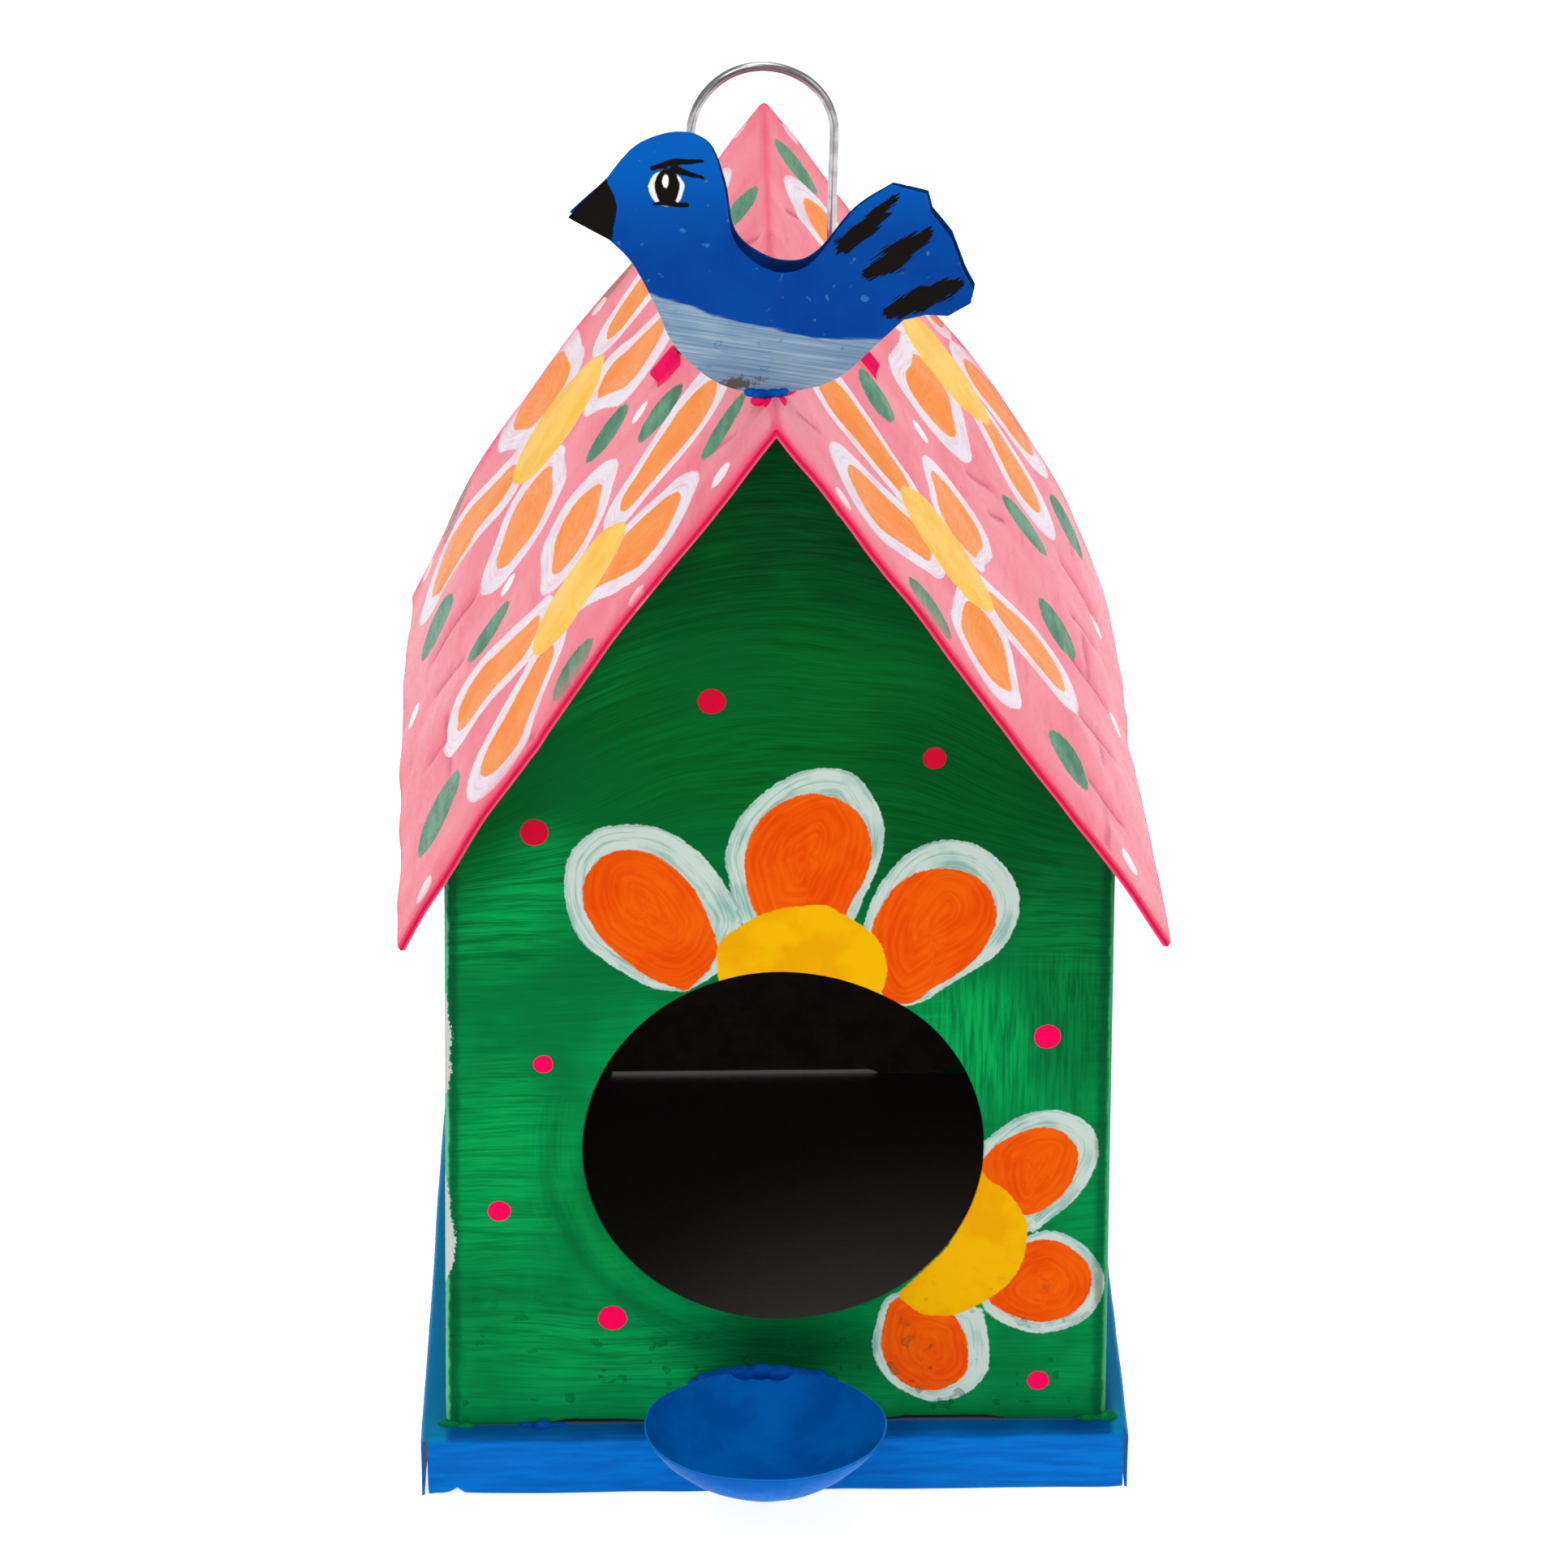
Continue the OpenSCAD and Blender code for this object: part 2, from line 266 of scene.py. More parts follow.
def folded_sheet(name, pattern, place, materials, values=None, sheet=SHEET, flip=False, rim_slot=0):
    """A closed sheet: an outer face, an inner face and a softly rounded rim.

    place(uv, depth) gives where a point of the pattern lies, depth below the outer face.
    """
    uv, tris = pattern
    if flip:
        tris = tris[:, ::-1]
    n = len(uv)
    outer, inner = place(uv, 0.0), place(uv, sheet)
    thick = np.broadcast_to(sheet, n)
    rim = rim_edges(tris)
    ids = np.unique(rim)
    place_of = np.full(n, -1)
    place_of[ids] = 2 * n + np.arange(len(ids))
    # the rim's middle line stands a little proud, away from the neighbouring triangles
    centre_sum, centre_n = np.zeros((n, 3)), np.zeros(n)
    middle = outer[tris].mean(1)
    for k in range(3):
        np.add.at(centre_sum, tris[:, k], middle)
        np.add.at(centre_n, tris[:, k], 1)
    away = outer[ids] - centre_sum[ids] / centre_n[ids, None]
    away /= np.maximum(np.linalg.norm(away, axis=1), 1e-9)[:, None]
    half = (outer[ids] + inner[ids]) / 2 + away * (thick[ids] * 0.3)[:, None]
    a, b = rim[:, 0], rim[:, 1]
    ma, mb = place_of[a], place_of[b]
    rim_faces = np.vstack([
        np.stack([b, a, ma], 1), np.stack([b, ma, mb], 1),
        np.stack([mb, ma, a + n], 1), np.stack([mb, a + n, b + n], 1)])
    faces = np.vstack([tris, tris[:, ::-1] + n, rim_faces])
    slots = np.concatenate([np.zeros(len(tris)), np.ones(len(tris)), np.full(len(rim_faces), rim_slot)])
    made = {}
    for key, array in (values or {}).items():
        array = np.asarray(array, float)
        made[key] = np.concatenate([array, array, array[ids]])
    made["on_rim"] = np.concatenate([np.zeros(2 * n), np.ones(len(ids))])
    return make_mesh(name, np.vstack([outer, inner, half]), faces, materials, slots, made)


def fold(distance, flat, radius):
    """Where a strip goes that is flat and then bends down round a radius: (across, down, angle)."""
    sign, d = np.sign(distance), np.abs(distance) - flat
    arc = radius * math.pi / 2
    angle = np.clip(d / radius, 0, math.pi / 2)
    past = np.maximum(d - arc, 0)
    across = np.minimum(np.abs(distance), flat) + radius * np.sin(angle)
    down = radius * (1 - np.cos(angle)) + past
    return sign * across, down, angle


# ---------------------------------------------------------------- materials
def srgb(r, g, b):
    return tuple((c / 255 / 12.92) if c / 255 <= 0.04045 else ((c / 255 + 0.055) / 1.055) ** 2.4
                 for c in (r, g, b)) + (1.0,)


class Shader:
    """Short names for the nodes of one material."""

    def __init__(self, name, roughness=0.4, metallic=0.0, coat=0.0, specular=0.5):
        self.material = bpy.data.materials.new(name)
        self.material.use_nodes = True
        self.tree = self.material.node_tree
        self.out = self.tree.nodes["Principled BSDF"]
        self.out.inputs["Roughness"].default_value = roughness
        self.out.inputs["Metallic"].default_value = metallic
        self.out.inputs["Coat Weight"].default_value = coat
        self.out.inputs["Specular IOR Level"].default_value = specular
        coords = self.tree.nodes.new("ShaderNodeTexCoord")
        self.place = self.scaled(coords.outputs["Object"], 1 / MM)

    def plug(self, socket, value):
        if isinstance(value, bpy.types.NodeSocket):
            self.tree.links.new(value, socket)
        elif isinstance(value, tuple) and len(value) == 4 and len(socket.default_value) == 3:
            socket.default_value = value[:3]
        else:
            socket.default_value = value

    def scaled(self, vector, factor):
        node = self.tree.nodes.new("ShaderNodeVectorMath")
        node.operation = "MULTIPLY"
        self.plug(node.inputs[0], vector)
        node.inputs[1].default_value = factor if isinstance(factor, tuple) else (factor,) * 3
        return node.outputs[0]

    def vector(self, x, y, z):
        node = self.tree.nodes.new("ShaderNodeCombineXYZ")
        for socket, value in zip(node.inputs, (x, y, z)):
            self.plug(socket, value)
        return node.outputs[0]

    def axes(self, vector):
        node = self.tree.nodes.new("ShaderNodeSeparateXYZ")
        self.plug(node.inputs[0], vector)
        return node.outputs[0], node.outputs[1], node.outputs[2]

    def value(self, name):
        node = self.tree.nodes.new("ShaderNodeAttribute")
        node.attribute_name = name
        return node.outputs["Fac"]

    def math(self, operation, a, b=0.0, clamp=False):
        node = self.tree.nodes.new("ShaderNodeMath")
        node.operation, node.use_clamp = operation, clamp
        self.plug(node.inputs[0], a)
        self.plug(node.inputs[1], b)
        return node.outputs[0]

    def noise(self, vector, scale=1.0, detail=3.0, rough=0.5):
        """Noise, about 0.5 in the middle."""
        node = self.tree.nodes.new("ShaderNodeTexNoise")
        self.plug(node.inputs["Vector"], vector)
        node.inputs["Scale"].default_value = scale
        node.inputs["Detail"].default_value = detail
        node.inputs["Roughness"].default_value = rough
        return node.outputs["Fac"]

    def remap(self, value, low, high, to_low=0.0, to_high=1.0, soft=True):
        node = self.tree.nodes.new("ShaderNodeMapRange")
        node.interpolation_type = "SMOOTHSTEP" if soft else "LINEAR"
        self.plug(node.inputs["Value"], value)
        for key, number in (("From Min", low), ("From Max", high), ("To Min", to_low), ("To Max", to_high)):
            node.inputs[key].default_value = number
        return node.outputs["Result"]

    def mix(self, factor, a, b, blend="MIX"):
        node = self.tree.nodes.new("ShaderNodeMix")
        node.data_type, node.blend_type = "RGBA", blend
        self.plug(node.inputs["Factor"], factor)
        self.plug(node.inputs[6], a)
        self.plug(node.inputs[7], b)
        return node.outputs[2]

    def spots(self, u, v, dots):
        """Signed distance to the nearest of some round dots."""
        best = None
        for (cu, cv), r in dots:
            du, dv = self.math("SUBTRACT", u, cu), self.math("SUBTRACT", v, cv)
            square = self.math("ADD", self.math("MULTIPLY", du, du), self.math("MULTIPLY", dv, dv))
            d = self.math("SUBTRACT", self.math("SQRT", square), r)
            best = d if best is None else self.math("MINIMUM", best, d)
        return best

    def inside(self, distance, edge=0.12, wobble=None, amount=0.3):
        """1 where the distance is below 0, with a narrow soft edge that a noise can move."""
        if wobble is not None:
            shifted = self.math("MULTIPLY", self.math("SUBTRACT", wobble, 0.5), amount)
            distance = self.math("ADD", distance, shifted)
        return self.remap(distance, edge, -edge)

    def ramp(self, value, stops):
        node = self.tree.nodes.new("ShaderNodeValToRGB")
        self.plug(node.inputs[0], value)
        elements = node.color_ramp.elements
        while len(elements) < len(stops):
            elements.new(0.5)
        for element, (at, colour) in zip(elements, stops):
            element.position, element.color = at, colour
        return node.outputs[0]

    def bump(self, height, distance_mm, strength=1.0, normal=None):
        node = self.tree.nodes.new("ShaderNodeBump")
        node.inputs["Distance"].default_value = distance_mm * MM
        node.inputs["Strength"].default_value = strength
        self.plug(node.inputs["Height"], height)
        if normal is not None:
            self.plug(node.inputs["Normal"], normal)
        return node.outputs[0]

    def finish(self, colour=None, roughness=None, normal=None):
        for key, value in (("Base Color", colour), ("Roughness", roughness), ("Normal", normal)):
            if value is not None:
                self.plug(self.out.inputs[key], value)
        return self.material


# ---------------------------------------------------------------- roof surface
ROOF_FRONT, ROOF_REAR = roof_low[1] + 0.8, roof_high[1] - 0.8
RIDGE_R = 1.0
TABLE_Y = np.linspace(ROOF_FRONT - 5, ROOF_REAR + 5, 25)
TABLE_S = np.arange(0, 152, 0.25)


# Downward slope in degrees at distances from the ridge: front edge, then rear edge, for each side.
ROOF_SLOPES = {
    -1: (([0, 40, 50, 102, 112, 150], [53.3, 53.3, 55.4, 55.4, 61.4, 61.4]),
         ([0, 55, 65, 104, 114, 124, 150], [51.0, 51.2, 54.3, 54.6, 61.5, 66.0, 66.3])),
    1: (([0, 60, 70, 108, 118, 150], [54.9, 54.9, 54.1, 54.1, 57.8, 57.8]),
        ([0, 65, 75, 104, 114, 124, 150], [52.6, 52.6, 54.2, 54.8, 63.4, 68.0, 70.2])),
}


def eave_length(y, side):
    """Distance from the ridge to the eave, down the slope."""
    back = (y - ROOF_FRONT) / (ROOF_REAR - ROOF_FRONT)
    wavy = 0.5 * value_noise(y, 0 * y + 9 * side, 16, 3)
    if side < 0:
        return 138.2 + 6.8 * back + wavy
    return 140.2 + 3.5 * back - 3.0 * smooth(78, 96, y) ** 1.5 + wavy


def slope_angle(s, y, side):
    """Downward slope of the roof sheet, at a distance s from the ridge."""
    back = np.clip((y - ROOF_FRONT) / (ROOF_REAR - ROOF_FRONT), 0, 1)
    (fs, fa), (rs, ra) = ROOF_SLOPES[side]
    mix = 1 - (1 - back) ** 3
    settled = np.radians(np.interp(s, fs, fa) * (1 - mix) + np.interp(s, rs, ra) * mix)
    return np.where(s < RIDGE_R * settled, s / RIDGE_R, settled)


def roof_tables(side):
    y, s = np.meshgrid(TABLE_Y, TABLE_S, indexing="ij")
    angle = slope_angle(s, y, side)
    step = TABLE_S[1] - TABLE_S[0]
    x = np.cumsum(np.cos(angle) * step, axis=1) - np.cos(angle) * step
    z = np.cumsum(np.sin(angle) * step, axis=1) - np.sin(angle) * step
    return x, z, angle


ROOF_TABLES = {side: roof_tables(side) for side in (-1, 1)}


def roof_smooth(y, s):
    """Point on the undented roof and its upward normal; s is negative on the left."""
    x, z, nx, nz = (np.zeros(np.shape(s)) for _ in range(4))
    a = np.clip((y - TABLE_Y[0]) / (TABLE_Y[1] - TABLE_Y[0]), 0, len(TABLE_Y) - 1.001)
    b = np.clip(np.abs(s) / (TABLE_S[1] - TABLE_S[0]), 0, len(TABLE_S) - 1.001)
    ia, ib = a.astype(int), b.astype(int)
    fa, fb = a - ia, b - ib
    rise = 1.1 * smooth(40, 90, y) * np.exp(-(s / 22) ** 2)
    for side in (-1, 1):
        mine = (s < 0) if side < 0 else (s >= 0)
        got = []
        for t in ROOF_TABLES[side]:
            low = t[ia, ib] * (1 - fb) + t[ia, ib + 1] * fb
            high = t[ia + 1, ib] * (1 - fb) + t[ia + 1, ib + 1] * fb
            got.append(low * (1 - fa) + high * fa)
        x = np.where(mine, side * got[0], x)
        z = np.where(mine, RIDGE_Z + 0.9 + rise - got[1], z)
        nx = np.where(mine, side * np.sin(got[2]), nx)
        nz = np.where(mine, np.cos(got[2]), nz)
    return np.stack([x, y, z], -1), np.stack([nx, 0 * nx, nz], -1)


# Creases pressed into the roof: side, two ends (y, s), half width and depth.
ROOF_CREASES = [
    (-1, (-36, 108), (-30, 124), 2.2, 0.55), (-1, (-8, 110), (-2, 122), 2.0, 0.5),
    (-1, (17, 107), (20, 124), 2.2, 0.6), (-1, (50, 110), (55, 124), 2.0, 0.5),
    (-1, (80, 112), (85, 126), 2.2, 0.5), (-1, (-68, 13), (-62, 20), 1.8, 0.4),
    (-1, (20, 4), (31, 14), 2.4, 0.35), (-1, (-86, 84), (-74, 92), 2.6, 0.4),
    (1, (-65, 110), (-61, 124), 2.0, 0.5), (1, (-37, 109), (-31, 123), 2.2, 0.6),
    (1, (-10, 108), (-5, 124), 2.4, 0.6), (1, (14, 110), (21, 122), 2.0, 0.5),
    (1, (40, 109), (46, 125), 2.4, 0.6), (1, (18, 71), (25, 79), 2.4, 0.5),
    (1, (9, 78), (15, 83), 2.0, 0.4), (1, (42, 7), (48, 13), 2.0, 0.4),
    (1, (-68, 8), (-64, 14), 2.0, 0.4),
]


def crease_field(y, s):
    """Depth pressed in, and from 0 to 1 how dark its painted shade is."""
    p = np.stack([y, np.abs(s)], 1)
    depth, shade_mark = np.zeros(len(y)), np.zeros(len(y))
    for side, a, b, half, deep in ROOF_CREASES:
        mine = (np.sign(s) == side)
        d = round_cone(p, a, 0.01, b, 0.01) * mine + 99 * ~mine
        near = np.exp(-(d / half) ** 2)
        depth += deep * near
        shade_mark = np.maximum(shade_mark, 0.95 * np.exp(-(d / (half * 0.4)) ** 2))
    for side in (-1, 1):
        wander = 1.5 * value_noise(y, 0 * y, 22, 41 + side)
        along = np.exp(-((np.abs(s) - BEND_S - 3 - wander) / 2.2) ** 2) * (np.sign(s) == side)
        strength = smooth(0.1, 0.8, value_noise(y, 0 * y + 5, 13, 57 + side))
        depth += 0.35 * along * strength
        shade_mark = np.maximum(shade_mark, 0.9 * along**4 * strength)
    return depth, shade_mark


def roof_dents(y, s):
    calm = smooth(1.5, 14, np.abs(s))
    broad = 0.75 * value_noise(y, s, 34, 11) + 0.42 * value_noise(y, s, 15, 12)
    fine = 0.12 * value_noise(y, s, 6.5, 13)
    wall = 1 - 0.75 * np.exp(-((np.abs(y) - BACK_Y) / 7) ** 2)
    return (broad * calm * wall + fine) - crease_field(y, s)[0] * wall


def roof_place(uv, depth):
    y, s = uv[:, 0], uv[:, 1]
    point, normal = roof_smooth(y, s)
    off = roof_dents(y, s) - 0.2
    near_bird = np.exp(-(s / 16) ** 2) * np.exp(-((y + 69) / 16) ** 2)
    return point + normal * (off * (1 - near_bird) - 0.3 * near_bird - depth)[:, None]


def gable(wall_y, half, base_z, gap=1.0):
    """Outline of a wall that fills the space below the roof: x and z, from the left foot up and round."""
    s = np.concatenate([-np.arange(124, 3, -4.0), [0], np.arange(4, 125, 4.0)])
    uv = np.stack([np.full(len(s), wall_y), s], 1)
    top = roof_place(uv, SHEET + gap)
    rows = [(x, z) for x, _, z in top if abs(x) < half - 1]
    left = np.interp(-half, top[:, 0], top[:, 2])
    right = np.interp(half, top[:, 0], top[:, 2])
    return [(-half, base_z), (-half, left)] + rows + [(half, right), (half, base_z)]


# ---------------------------------------------------------------- painted motifs
# Outlines on the front wall, x and z. A petal is its middle and then its border.
FRONT_PETALS = [
    ([(-19, 119), (-26.4, 122.4), (-31, 126), (-35.4, 130.3), (-38.6, 135.3), (-40, 140.5), (-39.4, 146),
      (-35.6, 150.6), (-30, 151.8), (-24.5, 150.3), (-19.5, 146), (-15.7, 140.3), (-13.6, 134), (-12.4, 127)],
     [(-19, 119), (-25.7, 119.9), (-31.8, 123.5), (-36.8, 127), (-40.7, 131), (-43.4, 138), (-44, 144),
      (-42.5, 151), (-37, 156.6), (-29.6, 157.8), (-22.5, 156), (-16.5, 151.6), (-11.5, 144.8),
      (-7.6, 136.5), (-9, 130), (-12, 124)]),
    ([(-3, 134), (-5, 138.5), (-6.5, 144.6), (-6.6, 149.8), (-5.2, 155.5), (-2, 160.3), (3, 163.5),
      (7.7, 164.3), (12.3, 163), (16.3, 160), (18.7, 155.5), (19.4, 150.6), (18, 144.8), (15.2, 139.6),
      (12, 135)],
     [(-4, 131), (-7.3, 135), (-9.6, 143.5), (-10.7, 149.6), (-8.9, 156.4), (-5.4, 162), (0, 166.7),
      (5.7, 169.3), (11, 170), (15.7, 168.5), (19, 164.2), (21.3, 159.5), (22, 154), (20.5, 147),
      (17.9, 141), (15.4, 135), (10, 131)]),
    ([(19.5, 126), (19.3, 133), (20.6, 137.3), (23.2, 142), (27.5, 145.6), (32.5, 147.2), (37.5, 146.6),
      (41.4, 144.5), (44, 140.8), (44.9, 136), (43.7, 131), (40.6, 126), (36, 122), (32, 119.5),
      (29, 116.8), (25.5, 115.9), (21.5, 118)],
     [(18, 124), (17.3, 131), (18.9, 138.9), (21.8, 144.6), (26, 149.9), (30.7, 152.8), (35.4, 153.6),
      (40.4, 152.4), (44.8, 149.4), (48, 145), (49.6, 139.6), (48.9, 133.9), (46, 128), (41, 123.9),
      (35.7, 120.5), (31.2, 117), (26.4, 115.4), (22, 117)]),
    ([(42.8, 78.6), (45.4, 81.9), (49.7, 84.5), (54.4, 86), (58.3, 85.4), (61.3, 83), (62.8, 79.3),
      (62.2, 74.4), (59.7, 69.5), (55.8, 66.2), (51.3, 65), (46, 67.5), (42.5, 74)],
     [(43, 82.9), (46, 85.9), (50, 88.4), (54, 89.8), (58.3, 90), (62.6, 88.6), (65.8, 85.6), (67, 81.5),
      (66.5, 77), (64.7, 72.4), (61.5, 67.6), (57.6, 64), (53, 61), (46, 64), (42, 74)]),
    ([(49.5, 57), (52.6, 58.4), (56, 59), (59.7, 58), (63.3, 55.4), (65.6, 51.9), (66, 47.6),
      (64.4, 43.3), (61, 40), (56.9, 38.5), (52.4, 39), (48.2, 40.8), (44.4, 43.8), (45, 51)],
     [(49, 58.5), (52.6, 60), (56.3, 61), (60.6, 60), (64.8, 56.9), (67.7, 52.5), (68.7, 48),
      (67.6, 43.3), (64.7, 39), (60.4, 36.5), (55.4, 35.8), (50.4, 36.9), (46, 39.4), (42.9, 42.9),
      (43, 50)]),
    ([(26.5, 46), (23.6, 43.6), (22.4, 39.7), (21.7, 34.7), (22.4, 29.7), (24.7, 25.4), (28.3, 22.6),
      (32.6, 21.7), (36.9, 23.3), (39.6, 26.2), (40.3, 30.4), (39.9, 34.7), (38.3, 38.6), (36, 41.5),
      (31, 44.5)],
     [(26.5, 47), (22.6, 44.6), (20.8, 39.7), (19.8, 34), (20.5, 29.7), (22.6, 25.3), (26.9, 21.5),
      (31.9, 19.1), (36.9, 19.6), (41, 21.9), (43.9, 25.8), (44.8, 30.4), (44.4, 35.4), (43.2, 40.6),
      (41, 43), (34, 46)]),
]
FRONT_YELLOW = [
    [(-12.2, 122), (-12.5, 127), (-11.5, 131), (-6, 135.4), (-1.4, 137.5), (3.6, 138.7), (9.3, 138.9),
     (13.2, 137), (16.6, 134.9), (19.7, 132.2), (21.6, 128.6), (22.4, 124.3), (22, 120.3), (21, 118.3),
     (14, 112), (-6, 112), (-11.5, 118)],
    [(42.5, 76), (44.4, 73), (46.6, 72), (49, 69.4), (50.9, 66), (52.2, 63), (52.2, 58.3), (51.5, 54),
     (49.7, 49.8), (46.5, 46), (42.6, 43.3), (38.3, 41), (34.4, 40.3), (30.4, 41), (27, 43.4),
     (25.4, 46), (30, 51), (36, 58), (40, 67)],
]
FRONT_DOTS = [((-13.1, 185.2), 2.8), ((32, 171.8), 2.4), ((-50.1, 156.1), 3.0), ((55.9, 107.6), 2.8),
              ((-48.8, 102.2), 2.1), ((-58.3, 67.2), 2.4), ((-35.1, 40.9), 3.0), ((55.1, 23.9), 2.3)]
SIDE_DOTS = [((-100, 120), 2.8), ((-128, 62), 2.5), ((-171, 96), 2.9), ((-196, 40), 2.4),
             ((94, 52), 2.5), ((118, 112), 2.9), ((160, 74), 2.6), ((199, 118), 2.8)]
BACK_SHIFT = 600
BACK_DOTS = [((-30, 196), 2.6), ((24, 158), 2.8), ((-44, 118), 2.5), ((12, 92), 2.9), ((46, 52), 2.4),
             ((-28, 44), 2.7)]

# Roof motifs are in y and distance down the slope, one list for each side. The last number of a petal
# is how wide its border is.
ROOF_PETALS = {
    -1: [((-57, 57), 5.5, (-66.5, 41), 9.5, 4.6), ((-37.5, 44), 6.5, (-32, 28.5), 10.0, 4.8),
         ((-24, 67), 8.5, (-15.5, 66), 8.8, 5.2), ((-41, 86), 6.5, (-36, 102), 9.5, 4.6),
         ((-62, 81), 6.0, (-72, 93), 9.0, 4.4),
         ((41, 54), 6.0, (32, 44), 9.5, 5.2), ((67, 50), 6.5, (72, 28), 10.0, 4.8),
         ((31, 85), 8.5, (20, 87), 11.0, 5.6), ((76, 79), 9.0, (84, 82), 10.5, 6.0),
         ((57, 98), 7.5, (64, 119), 10.5, 5.4)],
    1: [((-57, 47), 6.0, (-65, 33), 8.8, 4.6), ((-38, 41), 6.0, (-34, 24), 9.0, 4.0),
        ((-23, 64), 7.5, (-14, 64.5), 9.8, 3.4), ((-40, 80), 6.5, (-35, 94), 8.8, 4.4),
        ((-59, 72), 7.0, (-69, 72.5), 8.8, 3.6),
        ((45, 58), 6.5, (33, 58), 9.0, 6.0), ((58, 38), 6.5, (57, 22), 9.5, 4.8),
        ((59, 82), 6.5, (53.5, 92), 9.0, 5.0), ((83, 80), 7.0, (86, 93), 8.5, 4.6),
        ((91, 62), 4.0, (97, 61), 6.0, 3.0)],
}
ROOF_YELLOW = {-1: [((-50, 65.5), 12.5, 16.8, 0), ((54, 74.6), 14, 17.5, 0)],
               1: [((-43, 59), 13, 16, 0), ((64, 63), 14.5, 17.5, 0)]}
ROOF_LEAVES = {
    -1: [((-57, 17), 5, 8, 20), ((-13, 37), 6.5, 7.5, 0), ((12, 56), 6.5, 7.5, 30),
         ((46, 8), 6.5, 5.5, 0), ((-82, 69), 6.5, 7.5, 0), ((-13, 99), 5.5, 8, 10),
         ((-61, 120), 9, 10, 0), ((35, 124), 9.5, 8, 35), ((92, 119), 6, 8, 0), ((94, 53), 6, 8, 0)],
    1: [((-8, 35), 8, 6.5, 0), ((-82, 52), 6.5, 7.5, 0), ((-69, 102), 7, 7, 0), ((-6, 103), 8, 7.5, 0),
        ((28, 92), 6.5, 8.5, 0), ((75, 11), 6.5, 7.5, 0), ((71, 115), 6.5, 8.5, 0)],
}
ROOF_DOTS = {
    -1: [((-79.5, 18), 3.1), ((0, 44), 2.8), ((-87, 46), 2.6), ((-2, 92), 2.9), ((-84, 126), 3.2),
         ((11, 135), 3.2), ((89, 59), 2.6), ((90, 136), 3.0), ((92, 8), 2.6)],
    1: [((-84, 22), 2.8), ((5, 52), 3.0), ((-77, 125), 3.2), ((-4, 130), 3.0), ((41, 127), 3.2),
        ((91, 9), 2.8)],
}


def wobble_points(p, amount, cell, seed):
    """The same points shifted a little, so that outlines look drawn by hand."""
    du = amount * fractal(p[:, 0], p[:, 1], cell, seed, 2)
    dv = amount * fractal(p[:, 0], p[:, 1], cell, seed + 50, 2)
    return p + np.stack([du, dv], 1)


def shape_distance(p, points):
    """Signed distance to a smooth closed outline, worked out only near it."""
    loop = curve(points + points[:1], 3)[:-1]
    near = np.all((p > loop.min(0) - 12) & (p < loop.max(0) + 12), axis=1)
    d = np.full(len(p), 60.0)
    d[near] = outline_distance(p[near], loop)
    return d


def motif_values(p, petals, yellows, dots, leaves=(), seed=1):
    """Signed distances for each colour of a field of flowers, and the brush direction in the petals."""
    q = wobble_points(p, 0.32, 10, seed)
    far = np.full(len(p), 60.0)
    made = {"white": far, "orange": far, "yellow": far, "dot": far, "leaf": far}
    near = wobble_points(p, 0.18, 6, seed)
    stroke_u, stroke_v, best = np.zeros(len(p)), np.zeros(len(p)), far.copy()
    for petal in petals:
        if len(petal) == 2:
            tone, rim = shape_distance(near, petal[0]), shape_distance(near, petal[1])
            middle, axis = np.mean(petal[0], axis=0), np.array([0.0, 1.0])
        else:
            base, r0, tip, r1, border = petal
            base, tip = np.array(base, float), np.array(tip, float)
            middle, axis = (base + tip) / 2, (tip - base) / np.linalg.norm(tip - base)
            tone = round_cone(q, base, r0, tip, r1)
            rim = round_cone(q, base - axis * 1.5, r0 + border * 0.8, tip + axis * border * 0.35, r1 + border)
        made["orange"] = np.minimum(made["orange"], tone)
        made["white"] = np.minimum(made["white"], rim)
        mine = rim < best
        best = np.where(mine, rim, best)
        along = (p - middle) @ axis
        across = (p - middle) @ np.array([-axis[1], axis[0]])
        stroke_u = np.where(mine, np.arctan2(across, along) * 12, stroke_u)
        stroke_v = np.where(mine, rim, stroke_v)
    for yellow in yellows:
        got = ellipse(q, *yellow) if len(yellow) == 4 else shape_distance(near, yellow)
        made["yellow"] = np.minimum(made["yellow"], got)
    for centre, r in dots:
        made["dot"] = np.minimum(made["dot"], ellipse(near, centre, r, r))
    for centre, hu, hv, turn in leaves:
        made["leaf"] = np.minimum(made["leaf"], ellipse(q, centre, hu, hv, turn))
    made["stroke_u"], made["stroke_v"] = stroke_u, stroke_v
    return made


